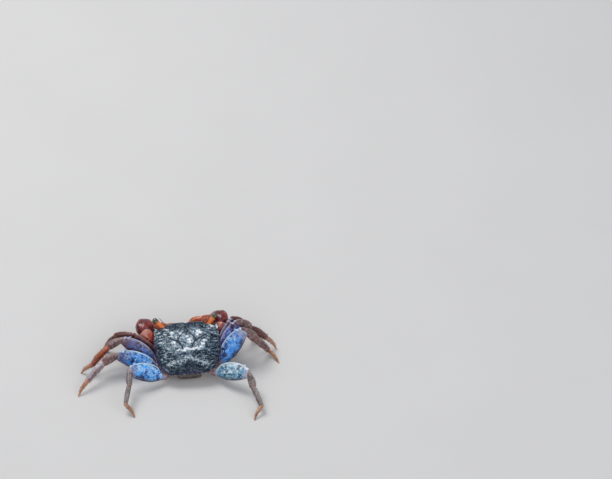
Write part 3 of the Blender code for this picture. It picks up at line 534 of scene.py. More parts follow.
class Limb:
    """One piece of a limb, along a curve from its root to its tip."""

    def __init__(self, name, kind, root, tip, bend, upper, half):
        self.name = name
        self.root, self.tip, self.bend = (np.asarray(p, float) for p in (root, tip, bend))
        self.upper = np.asarray(upper, float)
        self.half = half
        self.shape = SHAPES[kind]
        self.relief = RELIEFS[kind]
        self.sharp, self.full, self.cup = SECTIONS[kind]
        self.length = float(np.linalg.norm(self.tip - self.root))

    def axes(self, share):
        """Centre, heading, up and side at shares of the length."""
        share = np.asarray(share, float)[..., None]
        s = np.clip(share, 0, 1)
        centre = self.root * (1 - s) ** 2 + self.bend * (2 * s * (1 - s)) + self.tip * s * s
        heading = unit((self.bend - self.root) * (1 - s) + (self.tip - self.bend) * s)
        centre = centre + heading * (share - s) * self.length
        up = unit(self.upper - heading * (heading @ self.upper)[..., None])
        return centre, heading, up, np.cross(up, heading)

    def surface(self, share, turn):
        """Places on the skin at shares of the length and turns round it."""
        centre, heading, up, side = self.axes(share)
        thick = curve_through(self.shape, share, 1) * self.half[0]
        above = curve_through(self.shape, share, 2) * self.half[1]
        below = curve_through(self.shape, share, 3) * self.half[1]
        cosine, sine = np.cos(turn), np.sin(turn)
        power = np.where(sine > 0, self.sharp, 1 + (self.sharp - 1) * LOWER_SHARP)
        across = np.sign(cosine) * np.abs(cosine) ** power * thick
        tall = np.sign(sine) * np.abs(sine) ** self.full * np.where(sine > 0, above, below)
        return centre + side * across[..., None] + up * tall[..., None]

    def skin(self, spacing=SKIN_SPACING):
        """The finished mesh, with its relief, a domed root, and a hollow or a dome at its tip."""
        first, last = self.shape[0][0], self.shape[-1][0]
        count = max(FEWEST_RINGS, int((last - first) * self.length / spacing))
        girth = math.pi * (self.half[0] + self.half[1]) * GIRTH_SLACK
        sides = max(FEWEST_SIDES, 4 * int(girth / spacing / 4 * SIDE_DENSITY))
        shares = np.linspace(first, last, count)
        share, turn = np.meshgrid(shares, turns_round(sides), indexing="ij")
        rings = self.surface(share, turn)
        height = self.relief(self, share, turn, rings) * step(share, first, first + ROOT_FADE)
        rings = rings + normals_of(rings) * height[..., None]
        centre, heading, _, _ = self.axes((first, last))
        root_cap, root_pole = dome(rings[0], centre[0], -heading[0], ROOT_DOME)
        if self.cup:
            tip_cap, tip_pole = cup_rings(rings[-1], centre[1], heading[1], self.cup)
        else:
            tip_cap, tip_pole = dome(rings[-1], centre[1], heading[1], TIP_DOME)
        caps = ((len(root_cap), len(tip_cap)), (0, 0))
        share, turn, height = (np.pad(v, caps, mode="edge") for v in (share, turn, height))
        soft = np.zeros_like(share)
        if self.cup:
            soft[1 - len(tip_cap):] = 1
        rings = np.concatenate((root_cap[::-1], rings, tip_cap))
        obj, row, column = sphere_skin(self.name, rings, (root_pole, tip_pole))
        layers = {"share": share, "upper": np.sin(turn), "relief": height, "soft": soft}
        for name, values in layers.items():
            set_attribute(obj, name, values[row, column])
        return obj


def dome(ring, centre, heading, depth, count=DOME_RINGS):
    """Rings that close a tube's end with a rounded cap, and the pole."""
    width = np.linalg.norm(ring - centre, axis=-1).mean()
    made = []
    for k in range(1, count + 1):
        angle = math.radians(90 * k / (count + 1))
        made.append(
            centre + (ring - centre) * math.cos(angle)
            + heading * math.sin(angle) * width * depth
        )
    return np.array(made), centre + heading * width * depth


def cup_rings(ring, centre, heading, depth):
    """Rings that turn in at a tube's end and line a hollow, where the next piece sits."""
    lip_width, lip_ahead = CUP_LIP
    made = [centre + (ring - centre) * lip_width + heading * lip_ahead]
    for k in range(1, CUP_RINGS + 1):
        angle = math.radians(90 * k / (CUP_RINGS + 1))
        made.append(
            centre + (ring - centre) * CUP_MOUTH * math.cos(angle)
            - heading * math.sin(angle) * depth
        )
    return np.array(made), centre - heading * depth


# Relief of the limbs, in millimetres outwards

KNOB_SHRINK = 0.35  # how much smaller the last knob of a row is
RUGAE_BREAKS = 1.6  # how soon a line breaks off, round a limb
RUGAE_LEVELS = (0.08, 0.42)  # noise where a line starts to rise, and where it is full
MERUS_BEADS = 0.7  # millimetres from bead to bead along the crest of the merus
WRIST_BOXY = 0.3  # how far the four corners of its section stand out, and the flats sink
# Ridges and grooves: degrees round the limb, width in degrees, and height
MERUS_RIDGES = (
    (62, 8, -0.16), (118, 8, -0.16), (232, 9, 0.12), (308, 9, 0.12), (270, 18, -0.14),
)
JOINT_RIDGES = (
    (35, 11, 0.16), (145, 11, 0.16), (90, 12, 0.14), (0, 11, -0.12), (180, 11, -0.12),
    (62, 11, -0.12), (118, 11, -0.12),
)
TOE_GROOVES = tuple((degrees, 13, -0.12) for degrees in range(0, 360, 60))
ARM_RIDGES = ((90, 10, 0.3), (215, 10, 0.2), (325, 10, 0.2))
FINGER_GROOVES = ((20, 14, -0.1), (160, 14, -0.1))
# How far a skin sinks below its plain surface, so that its relief stays in the solids' outline
JOINT_SINK = 0.05
TOE_SINK = 0.01
PALM_SINK = 0.12


def ridge(turn, degrees, width, height):
    """A long ridge, or a groove where height is under 0, at one turn round a limb."""
    far = np.angle(np.exp(1j * (turn - math.radians(degrees))))
    return height * np.exp(-(far / math.radians(width)) ** 2)


def ridges(turn, rows):
    """Several ridges and grooves, from their rows."""
    return sum(ridge(turn, *row) for row in rows)


def band(share, at, width, height):
    """A raised rim round a limb, or a waist where height is under 0, at a share of its length."""
    return height * np.exp(-((share - at) / width) ** 2)


def between(share, start, full, fade, end):
    """1 along the middle of a limb, fading out towards its root and its tip."""
    return step(share, start, full) * (1 - step(share, fade, end))


def knob_row(limb, places, start, end, count, degrees, radius, height):
    """A row of rounded knobs along a limb, each smaller than the last."""
    total = np.zeros(places.shape[:-1])
    for i in range(count):
        share = start + (end - start) * i / (count - 1)
        spot = limb.surface(np.array([share]), np.array([math.radians(degrees)]))[0]
        size = radius * (1 - KNOB_SHRINK * i / count)
        far = np.linalg.norm(places - spot, axis=-1) / size
        total = np.maximum(total, height * np.sqrt(np.clip(1 - far ** 2, 0, 1)))
    return total


def rugae(limb, share, turn, spacing, seed):
    """Short raised lines across a limb, broken up."""
    round_limb = (np.cos(turn) * RUGAE_BREAKS, np.sin(turn) * RUGAE_BREAKS)
    drawn = np.stack((share * limb.length / spacing, *round_limb), axis=-1)
    return step(waves(drawn, 1.0, seed), *RUGAE_LEVELS)


def merus_relief(limb, share, turn, places):
    """A beaded upper crest, long ridges and grooves, short raised lines, and a rim."""
    beads = 0.6 + 0.4 * np.cos(share * limb.length * 2 * math.pi / MERUS_BEADS)
    lengthways = ridge(turn, 90, 9, 0.16) * beads + ridges(turn, MERUS_RIDGES)
    rough = rugae(limb, share, turn, 0.8, 3.1) * 0.07 + grains(places, 0.55, 1.7) * 0.035
    rim = band(share, 0.985, 0.018, 0.16) + band(share, 0.945, 0.02, -0.12)
    inside = between(share, 0.05, 0.2, 0.86, 0.93)
    return lengthways * inside + rough * step(share, 0.02, 0.1) + rim


def joint_relief(limb, share, turn, places):
    """Carpus and propodus: ridges and grooves, short raised lines, and a rim."""
    rough = rugae(limb, share, turn, 0.7, 6.2) * 0.05
    rim = band(share, 0.985, 0.03, 0.12) + band(share, 0.92, 0.03, -0.1)
    inside = between(share, 0.0, 0.15, 0.85, 0.97)
    return (ridges(turn, JOINT_RIDGES) + rough) * inside + rim - JOINT_SINK


def toe_relief(limb, share, turn, places):
    """Six long grooves that run out towards the point."""
    fade = between(share, 0.05, 0.2, 0.7, 0.95) * (1 - 0.5 * share)
    return ridges(turn, TOE_GROOVES) * fade - TOE_SINK


def hip_relief(limb, share, turn, places):
    """Two short joints with a waist between them."""
    waist = band(share, 0.42, 0.06, -0.22)
    rims = band(share, 0.5, 0.05, 0.14) + band(share, 0.93, 0.04, 0.1)
    return waist + rims + waves(places, 1.2, 4.0) * 0.05


def arm_relief(limb, share, turn, places):
    """Three long ridges, short raised lines, grains, and a rim."""
    rough = rugae(limb, share, turn, 0.9, 2.2) * 0.12 + grains(places, 0.7, 5.0) * 0.06
    rim = band(share, 0.97, 0.025, 0.2)
    return ridges(turn, ARM_RIDGES) * step(share, 0.3, 0.6) + rough + rim


def wrist_relief(limb, share, turn, places):
    """A slightly boxy dome of low grains, with an angular inner corner, a crest and a rim."""
    corner = ridge(turn, 200, 16, 0.35) * band(share, 0.6, 0.22, 1)
    size = 0.5 + 0.5 * step(share, 0.0, 0.5)
    rough = grains(places, 0.85, 8.0) * 0.12 * size + rugae(limb, share, turn, 0.9, 4.4) * 0.12
    crest = ridge(turn, 40, 9, 0.2) * step(share, 0.25, 0.6)
    rough = rough + waves(places, 3.0, 6.0) * 0.16 + crest
    boxy = WRIST_BOXY * np.cos(4 * turn) * between(share, 0.1, 0.5, 0.85, 1.0)
    rim = band(share, 0.96, 0.03, 0.18) + band(share, 0.9, 0.03, -0.14)
    return corner + boxy + rough * step(share, -0.1, 0.1) + rim


def palm_relief(limb, share, turn, places):
    """Grains, two rows of knobs above, teeth on the fixed finger, and a keel."""
    outer = step(np.cos(turn), -0.4, 0.5)
    body = 1 - step(share, 0.5, 0.8)
    rough = grains(places, 0.8, 9.0) * (0.14 * outer * body + 0.05)
    knobs = knob_row(limb, places, 0.1, 0.42, count=8, degrees=90, radius=0.5, height=0.42)
    outer_knobs = knob_row(limb, places, 0.14, 0.4, count=7, degrees=72, radius=0.36, height=0.24)
    teeth = knob_row(limb, places, 0.66, 0.93, count=7, degrees=90, radius=0.6, height=0.5)
    keel = ridge(turn, 285, 10, 0.12) * step(share, 0.3, 0.6)
    return rough + np.maximum(np.maximum(knobs, outer_knobs), teeth) + keel - PALM_SINK


def finger_relief(limb, share, turn, places):
    """Knobs along the back, teeth below, and a groove on each face."""
    knobs = knob_row(limb, places, 0.1, 0.8, count=14, degrees=90, radius=0.42, height=0.4)
    teeth = knob_row(limb, places, 0.36, 0.9, count=7, degrees=270, radius=0.5, height=0.42)
    skin = ridges(turn, FINGER_GROOVES) + grains(places, 0.6, 3.0) * 0.05
    return np.maximum(knobs, teeth) + skin * (1 - share)


def stalk_relief(limb, share, turn, places):
    """Soft waves, and a rim under the eye."""
    return waves(places, 0.5, 2.0) * 0.04 + band(share, 0.95, 0.06, 0.08)


def mouth_relief(limb, share, turn, places):
    """A waist between the two plates, a slanting crest, and grains."""
    crest = band(share - 0.12 * np.sin(turn), 0.3, 0.05, 0.18)
    return band(share, 0.52, 0.03, -0.35) + crest + grains(places, 0.5, 2.0) * 0.04


RELIEFS = {
    "hip": hip_relief, "merus": merus_relief, "carpus": joint_relief, "propodus": joint_relief,
    "dactylus": toe_relief, "arm": arm_relief, "wrist": wrist_relief, "palm": palm_relief,
    "finger": finger_relief, "stalk": stalk_relief, "mouthpart": mouth_relief,
}
# Sharpness of the upper edge, fullness of the upper and lower edge, and depth of the end's hollow
SECTIONS = {
    "hip": (1.0, 1.0, 0.9), "merus": (1.35, 1.0, 0.9), "carpus": (1.1, 1.0, 0.8),
    "propodus": (1.0, 0.95, 0.7), "dactylus": (1.0, 1.0, 0.0), "arm": (1.0, 1.0, 1.6),
    "wrist": (1.0, 1.0, 0.9), "palm": (1.0, 0.95, 0.0), "finger": (1.0, 1.0, 0.0),
    "stalk": (1.0, 1.0, 0.0), "mouthpart": (1.0, 0.8, 0.0),
}
LOWER_SHARP = 0.4  # how much of the upper edge's sharpness the lower edge has


# Limbs in their places

def direction(side, heading, rise):
    """Unit direction of a leg piece: degrees forward of straight out, and above level."""
    turn, lift = math.radians(heading), math.radians(rise)
    return np.array((
        SIDES[side] * math.cos(turn) * math.cos(lift), -math.sin(turn) * math.cos(lift),
        math.sin(lift),
    ))


def middle(root, tip, upper, bow):
    """The bend point of a curve that bows towards upper."""
    along = unit(tip - root)
    away = unit(upper - along * upper.dot(along))
    return (root + tip) / 2 + away * bow * 2


def leg_limbs(side, number):
    """The five pieces of one walking leg, hip to tip."""
    hip_place, root_place, scale, breadth = LEG_SIZES[number]
    lean = math.radians(LEG_LEAN[number])
    upper = np.array((0, -math.sin(lean), math.cos(lean)))
    merus_pose, carpus_pose, propodus_pose, toe_heading = LEG_POSES[side, number]
    outwards = SIDES[side]
    spots = [on_body((outwards * place[0], *place[1:])) for place in (hip_place, root_place)]
    for kind, pose in zip(LEG_LENGTHS, (merus_pose, carpus_pose, propodus_pose)):
        spots.append(spots[-1] + direction(side, *pose) * LEG_LENGTHS[kind] * scale)
    toe_length = LEG_LENGTHS["dactylus"] * scale
    drop = -math.degrees(math.asin(min(STEEPEST_TOE, spots[-1][2] / toe_length)))
    toe = spots[-1] + direction(side, toe_heading, drop) * toe_length
    toe[2] = 0.0
    spots.append(toe)
    made = {}
    for kind, start, end in zip(LEG_BOWS, spots, spots[1:]):
        thick, wide = LEG_HALVES[kind]
        half = (thick * scale, wide * scale * (breadth if kind == "merus" else 1))
        name = f"skin_leg_{number}_{side}_{kind}"
        bend = middle(start, end, upper, LEG_BOWS[kind])
        made[kind] = Limb(name, kind, start, end, bend, upper, half)
    return made


def claw_limbs(side):
    """Arm, wrist, palm and finger of one claw."""
    outwards = SIDES[side]
    spots = {
        name: on_floor_frame(outwards * spot[0], *spot[1:]) for name, spot in CLAWS[side].items()
    }
    upright = unit(np.array((0, -0.25, 1)))
    leaning = unit(np.array((outwards * 0.3, -0.3, 1)))
    inner_back = unit(np.array((outwards, -0.6, 0.8)))

    def piece(kind, root, tip, bend, upper):
        return Limb(f"skin_claw_{side}_{kind}", kind, root, tip, bend, upper, CLAW_HALVES[kind])

    arm = piece("arm", spots["hip"], spots["wrist"], spots["elbow"], leaning)
    wrist = piece("wrist", spots["wrist"], spots["knuckle"], spots["wrist_bulge"], inner_back)
    palm_middle = (spots["palm_root"] + spots["tip"]) / 2 + PALM_BOW
    palm = piece("palm", spots["palm_root"], spots["tip"], palm_middle, upright)
    centre, heading, up, _ = palm.axes(HINGE_SHARE)
    hinge = centre + up * HINGE_LIFT
    tip = spots["tip"] + up * FINGER_TIP_LIFT + heading * FINGER_TIP_AHEAD
    finger = piece("finger", hinge, tip, middle(hinge, tip, up, FINGER_BOW), up)
    return {"arm": arm, "wrist": wrist, "palm": palm, "finger": finger}


# Hairs of the limbs

def bristles(name, roots, ways, lengths, curl, paint, slot, cells):
    """One mesh of thin tapered hairs, from their roots, directions and lengths in millimetres.

    cells are the places of the roots on the limb's unwrap, where each hair is a small patch.
    """
    helper = np.where(np.abs(ways[:, 2:3]) > 0.8, (1.0, 0.0, 0.0), (0.0, 0.0, 1.0))
    side = unit(np.cross(ways, helper))
    other = np.cross(ways, side)
    cosines, sines = (f(turns_round(3))[None, :, None] for f in (np.cos, np.sin))
    rim = side[:, None] * cosines + other[:, None] * sines
    base = roots[:, None] - ways[:, None] * HAIR_ROOT + rim * HAIR_RADIUS
    mid = roots + ways * (lengths * HAIR_MIDDLE)[:, None] + curl * HAIR_BEND * lengths[:, None]
    mid = mid[:, None] + rim * HAIR_RADIUS * HAIR_TAPER
    tip = roots + ways * lengths[:, None] + curl * lengths[:, None]
    points = np.concatenate((base, mid, tip[:, None]), axis=1).reshape(-1, 3)
    points[:, 2] = np.maximum(points[:, 2], ABOVE_FLOOR)
    starts = np.arange(len(roots)) * HAIR_POINTS
    faces = (starts[:, None, None] + HAIR_FACES[None]).reshape(-1, 3)
    mesh = bpy.data.meshes.new(name)
    mesh.from_pydata((points * MM).tolist(), [], faces.tolist())
    unwrap = cells[faces.ravel() // HAIR_POINTS] + HAIR_UNWRAP[faces.ravel() % HAIR_POINTS]
    layer = mesh.uv_layers.new(name="OFBake")
    layer.data.foreach_set("uv", unwrap.astype(np.float32).ravel())
    obj = bpy.data.objects.new(name, mesh)
    bpy.context.scene.collection.objects.link(obj)
    return finish_piece(obj, paint, slot, angle=60.0)


def random_steps(draw, count, spread):
    """Small random steps in all directions, one for each hair."""
    return np.array([[draw.gauss(0, spread) for _ in range(3)] for _ in range(count)])


def limb_bristles(limbs, plans, name, paint, slot, draw):
    """One mesh of a limb's hairs. plans are rows such as those of LEG_HAIRS."""
    roots, ways, lengths, cells = [], [], [], []
    kinds = list(limbs)
    fill_across, fill_along = UNWRAP_FILL
    for kind, degrees, start, end, count, length in plans:
        limb = limbs[kind]
        shares = np.array([start + (end - start) * draw.random() for _ in range(count)])
        turns = np.radians([degrees + draw.gauss(0, HAIR_STRAY) for _ in range(count)])
        spots = limb.surface(shares, turns)
        centre, heading, _, _ = limb.axes(shares)
        jitter = random_steps(draw, count, HAIR_JITTER)
        roots.append(spots)
        ways.append(unit(unit(spots - centre) + heading * HAIR_LEAN + jitter))
        shares_of_length = [HAIR_SHORTEST + HAIR_RANGE * draw.random() for _ in range(count)]
        lengths.append(length * np.array(shares_of_length))
        across = kinds.index(kind) + (turns % (2 * math.pi)) / (2 * math.pi) * fill_across
        along = np.clip(shares, 0, 1) * fill_along
        cells.append(np.stack((across / len(kinds), along), axis=-1))
    roots, ways, lengths, cells = (np.concatenate(v) for v in (roots, ways, lengths, cells))
    curl = random_steps(draw, len(roots), HAIR_CURL)
    return bristles(name, roots, ways, lengths, curl, paint, slot, cells)


# Materials

class Value:
    """A number that varies over a surface. Sums with it add Math nodes."""

    def __init__(self, paint, socket):
        self.paint = paint
        self.socket = socket

    def __add__(self, other):
        return self.paint.math("ADD", self, other)

    __radd__ = __add__

    def __sub__(self, other):
        return self.paint.math("SUBTRACT", self, other)

    def __rsub__(self, other):
        return self.paint.math("SUBTRACT", other, self)

    def __mul__(self, other):
        return self.paint.math("MULTIPLY", self, other)

    __rmul__ = __mul__


class Paint:
    """Builds one material."""

    def __init__(self, name, **fixed):
        self.material = bpy.data.materials.new(name)
        self.material.use_nodes = True
        self.nodes = self.material.node_tree.nodes
        self.links = self.material.node_tree.links
        self.shader = self.nodes["Principled BSDF"]
        for socket, value in fixed.items():
            self.shader.inputs[socket.replace("_", " ")].default_value = value
        self.place = self.add("ShaderNodeTexCoord").outputs["Object"]

    def add(self, kind, settings=None, sockets=None):
        """A node: its settings first, then the values or links of its sockets."""
        node = self.nodes.new(kind)
        for setting, value in (settings or {}).items():
            if setting == "stops":
                self.set_stops(node.color_ramp, value)
            else:
                setattr(node, setting, value)
        for socket, value in (sockets or {}).items():
            self.feed(node.inputs[socket], value)
        return node

    def set_stops(self, ramp, stops):
        """Places and colours of a colour ramp."""
        while len(ramp.elements) < len(stops):
            ramp.elements.new(0.5)
        for element, (position, colour) in zip(ramp.elements, stops):
            element.position = position
            element.color = (*colour, 1)

    def feed(self, socket, value):
        """Links a value, or sets the socket where it is a plain number or colour."""
        if isinstance(value, Value):
            value = value.socket
        if isinstance(value, bpy.types.NodeSocket):
            self.links.new(value, socket)
        elif isinstance(value, tuple) and len(value) == 3 and socket.type == "RGBA":
            socket.default_value = (*value, 1)
        else:
            socket.default_value = value

    def math(self, operation, first, second):
        """One Math node on two numbers."""
        node = self.add("ShaderNodeMath", {"operation": operation}, {0: first, 1: second})
        return Value(self, node.outputs[0])

    def attribute(self, name):
        """A number that the mesh holds for each vertex."""
        return Value(self, self.add("ShaderNodeAttribute", {"attribute_name": name}).outputs["Fac"])

    def noise(self, size, detail=3.0, rough=0.55, warp=0.0):
        """Noise from 0 to 1, with features of a size in millimetres."""
        node = self.add("ShaderNodeTexNoise", {}, {
            "Vector": self.place, "Scale": 1 / (size * MM), "Detail": detail,
            "Roughness": rough, "Distortion": warp,
        })
        return Value(self, node.outputs["Fac"])

    def cells(self, size, at=None, feature="F1"):
        """How far each place is from its cell's middle, or as the feature says."""
        node = self.add("ShaderNodeTexVoronoi", {"feature": feature}, {
            "Vector": at or self.place, "Scale": 1 / (size * MM),
        })
        return Value(self, node.outputs["Distance"])

    def warped(self, size, amount):
        """Object places pushed about by noise, both in millimetres."""
        push = self.add(
            "ShaderNodeTexNoise", {}, {"Vector": self.place, "Scale": 1 / (size * MM), "Detail": 2.0}
        )
        moved = self.add(
            "ShaderNodeVectorMath", {"operation": "MULTIPLY_ADD"},
            {0: push.outputs["Color"], 1: (amount * MM,) * 3, 2: self.place},
        )
        return moved.outputs[0]

    def net(self, size, low, high, at=None):
        """A net of lines round cells of a size in millimetres: 1 on the lines."""
        return 1 - self.step(self.cells(size, at, "DISTANCE_TO_EDGE"), low, high)

    def step(self, value, low, high):
        """0 up to low, 1 from high on, and a smooth rise between them."""
        node = self.add("ShaderNodeMapRange", {"interpolation_type": "SMOOTHSTEP"}, {
            "Value": value, "From Min": low, "From Max": high,
        })
        return Value(self, node.outputs["Result"])

    def ramp(self, value, stops):
        """Colours along a value."""
        node = self.add("ShaderNodeValToRGB", {"stops": stops}, {"Fac": value})
        return node.outputs["Color"]

    def mix(self, factor, first, second):
        """The first colour at 0, the second at 1."""
        node = self.add("ShaderNodeMix", {"data_type": "RGBA"}, {0: factor, 6: first, 7: second})
        return node.outputs[2]

    def finish(self, colour, roughness, bumps, coat=None):
        """Colour, roughness, and bumps as (height, distance in millimetres)."""
        self.feed(self.shader.inputs["Base Color"], colour)
        self.feed(self.shader.inputs["Roughness"], roughness)
        if coat is not None:
            self.feed(self.shader.inputs["Coat Weight"], coat)
        normal = None
        for height, distance in bumps:
            node = self.add("ShaderNodeBump", {}, {
                "Strength": 1.0, "Distance": distance * MM, "Height": height,
            })
            if normal is not None:
                self.feed(node.inputs["Normal"], normal)
            normal = node.outputs["Normal"]
        self.feed(self.shader.inputs["Normal"], normal)
        return self.material


# Tones of the shell, dark to light
SLATE_TONES = (
    (0.33, (0.002, 0.004, 0.01)), (0.43, (0.011, 0.022, 0.038)), (0.51, (0.05, 0.084, 0.118)),
    (0.59, (0.15, 0.215, 0.265)), (0.7, (0.46, 0.56, 0.64)),
)
PURPLE_TONES = (
    (0.38, (0.004, 0.003, 0.018)), (0.5, (0.013, 0.008, 0.045)), (0.64, (0.075, 0.028, 0.07)),
)
# The whitest tone is partly pale skin and partly a painted reflection of the sky.
BLUISH_GREY, PALE_WHITE_AND_GLARE = (0.3, 0.4, 0.46), (0.92, 0.97, 1.0)
PALE_DOT, WORN_GRAIN = (0.5, 0.62, 0.7), (0.7, 0.8, 0.86)
# The groove tone is painted shade; the pit tone is the pits' own colour.
PIT_DARK, GROOVE_SHADE = (0.004, 0.008, 0.018), (0.003, 0.005, 0.012)
NAVY_BLUE, NAVY_SPARK = (0.004, 0.014, 0.038), (0.26, 0.36, 0.46)
LILAC_FLECK, LILAC_VEIN = (0.16, 0.14, 0.3), (0.26, 0.2, 0.36)


def slate_top(paint, broad, medium, fine, cover, dark):
    """The top: dappled slate, a pale cover that is partly painted sky reflection, dots, pits, grooves
    darkened as painted shade, and navy borders that are partly painted shade.
    """
    pale, deep, streak = (paint.attribute(a) for a in ("pale", "deep", "streak"))
    blotch = (
        # The slate is pushed darker where the navy tone is high and lighter on the crown: partly navy
        # colour, partly painted shade and painted light.
        0.513 + (broad - 0.5) * 0.5 + (medium - 0.5) * 0.7 + (fine - 0.5) * 0.6
        + streak * 0.17 - deep * 0.085
    )
    # The whitest marks are partly pale skin and partly painted sky reflection.
    whitest_and_glare = paint.step(pale + (fine - 0.5) * 1.2, 0.4, 1.1)
    marks = paint.mix(whitest_and_glare, BLUISH_GREY, PALE_WHITE_AND_GLARE)
    colour = paint.mix(cover * 0.95, paint.ramp(blotch, SLATE_TONES), marks)
    dots = 1 - paint.step(paint.cells(0.85), 0.2, 0.36)
    dotted = paint.step(broad * 0.6 + medium * 0.4, 0.46, 0.58)
    colour = paint.mix(dots * dotted * 0.7, colour, PALE_DOT)
    pits = 1 - paint.step(paint.cells(0.95), 0.18, 0.34)
    colour = paint.mix(pits * 0.8, colour, PIT_DARK)
    # Painted shade: the grooves darken with their depth.
    colour = paint.mix(dark * 0.88, colour, GROOVE_SHADE)
    # Navy colour, laid in part as painted shade at the rear, the sides and the brow.
    navy = paint.step(deep + (medium - 0.5) * 1.6, 0.7, 1.05)
    colour = paint.mix(navy * 0.6, colour, NAVY_BLUE)
    sparks = 1 - paint.step(paint.cells(0.7), 0.16, 0.34)
    return paint.mix(sparks * navy * 0.45, colour, NAVY_SPARK)


def purple_wall(paint, broad, medium, fine):
    """The side wall: deep purple with lilac flecks and veins."""
    colour = paint.ramp(broad * 0.5 + medium * 0.5, PURPLE_TONES)
    flecks = paint.step(fine * 0.6 + medium * 0.4, 0.53, 0.62)
    colour = paint.mix(flecks * 0.4, colour, LILAC_FLECK)
    veins = paint.net(0.8, 0.02, 0.16, paint.warped(0.7, 1.0)) * paint.step(medium, 0.4, 0.62)
    return paint.mix(veins * 0.2, colour, LILAC_VEIN)


def shell_paint():
    """Wet slate skin, dappled bluish white in part as painted sky reflection, with grooves darkened as
    painted shade, pits and a purple side wall.
    """
    paint = Paint("carapace", Coat_Roughness=0.14, Specular_IOR_Level=0.16)
    pale, groove, relief, wall, streak = (
        paint.attribute(a) for a in ("pale", "groove", "relief", "wall", "streak")
    )
    broad = paint.noise(3.0, 5, 0.62, warp=0.4)
    medium = paint.noise(1.0, 4, 0.66)
    fine = paint.noise(0.42, 3, 0.62)
    cover = paint.step(
        pale * 0.78 + (medium - 0.5) * 2.0 + (fine - 0.5) * 1.4 + streak * 0.24, 0.3, 0.52
    )
    # How far the grooves darken as painted shade, from their depth.
    dark = paint.step(groove + (medium - 0.5) * 0.9, 0.27, 0.82)
    top = slate_top(paint, broad, medium, fine, cover, dark)
    colour = paint.mix(wall, top, purple_wall(paint, broad, medium, fine))
    colour = paint.mix(paint.step(relief, 0.1, 0.22) * 0.35, colour, WORN_GRAIN)
    rough = 0.36 + (medium - 0.5) * 0.5 - dark * 0.08
    pores = fine * 0.5 + (1 - paint.cells(0.34)) * 0.6
    return paint.finish(colour, rough, ((pores, 0.06), (medium, 0.2)), coat=0.02 + cover * 0.32)


# Soft skin in the hollows of the joints
FLESH_DEEP, FLESH_PALE = (0.42, 0.13, 0.07), (0.6, 0.3, 0.2)


def limb_skin(paint, colour, spots, dark, gloss=0.38, bump=0.06):
    """Shared last touches of limb skins: dots, pits, worn raised relief, painted shade in sunk relief, and
    joint skin.
    """
    soft, relief = paint.attribute("soft"), paint.attribute("relief")
    medium, fine = paint.noise(0.9, 4, 0.6), paint.noise(0.28, 3, 0.6)
    dots = 1 - paint.step(paint.cells(0.55), 0.1, 0.22)
    colour = paint.mix(dots * paint.step(medium, 0.42, 0.62) * 0.6, colour, spots)
    pits = 1 - paint.step(paint.cells(0.8), 0.1, 0.22)
    colour = paint.mix(pits * 0.5, colour, dark)
    colour = paint.mix(paint.step(relief, 0.06, 0.2) * 0.2, colour, spots)
    # Painted shade: sunk relief such as seams and grooves is darkened.
    colour = paint.mix(paint.step(0.0 - relief, 0.03, 0.14) * 0.45, colour, dark)
    colour = paint.mix(soft, colour, paint.mix(fine, FLESH_DEEP, FLESH_PALE))
    rough = gloss + (medium - 0.5) * 0.4
    pores = fine * 0.5 + (1 - paint.cells(0.3)) * 0.5
    return paint.finish(colour, rough, ((pores, bump), (medium, 0.08)), coat=0.14 + medium * 0.26)


# Dots and pits of the upper and of the lower legs, and what covers them
BLUE_LEG_DOTS, BLUE_LEG_PITS = (0.72, 0.8, 0.9), (0.02, 0.012, 0.05)
BROWN_LEG_DOTS, BROWN_LEG_PITS = (0.62, 0.5, 0.42), (0.05, 0.02, 0.016)
RUST_STAIN, MUD_FILM = (0.15, 0.095, 0.12), (0.36, 0.31, 0.28)


def merus_blotches(paint, broad, streak, fine, tones, amount):
    """Deep and bright blotches, a net of pale lines, rust stains and white patches."""
    deep, bright, white, dark = tones
    field = 0.5 + amount + (broad - 0.5) * 0.7 + (streak - 0.5) * 0.6 + (fine - 0.5) * 0.16
    colour = paint.ramp(field, (
        (0.34, dark), (0.43, deep), (0.5, bright), (0.57, bright), (0.61, deep), (0.67, bright),
    ))
    lines = paint.net(2.1, 0.02, 0.14, paint.warped(1.6, 2.2)) * paint.step(broad, 0.42, 0.58)
    colour = paint.mix(lines * 0.7, colour, paint.mix(0.4, bright, white))
    rust = paint.step(paint.noise(1.5, 4, 0.7, warp=0.8), 0.58, 0.63)
    colour = paint.mix(rust * 0.55, colour, RUST_STAIN)
    upper = paint.attribute("upper")
    patch = paint.step(streak * 0.6 + fine * 0.4 + upper * 0.06 + amount, 0.54, 0.6)
    return paint.mix(patch * 0.9, colour, white)


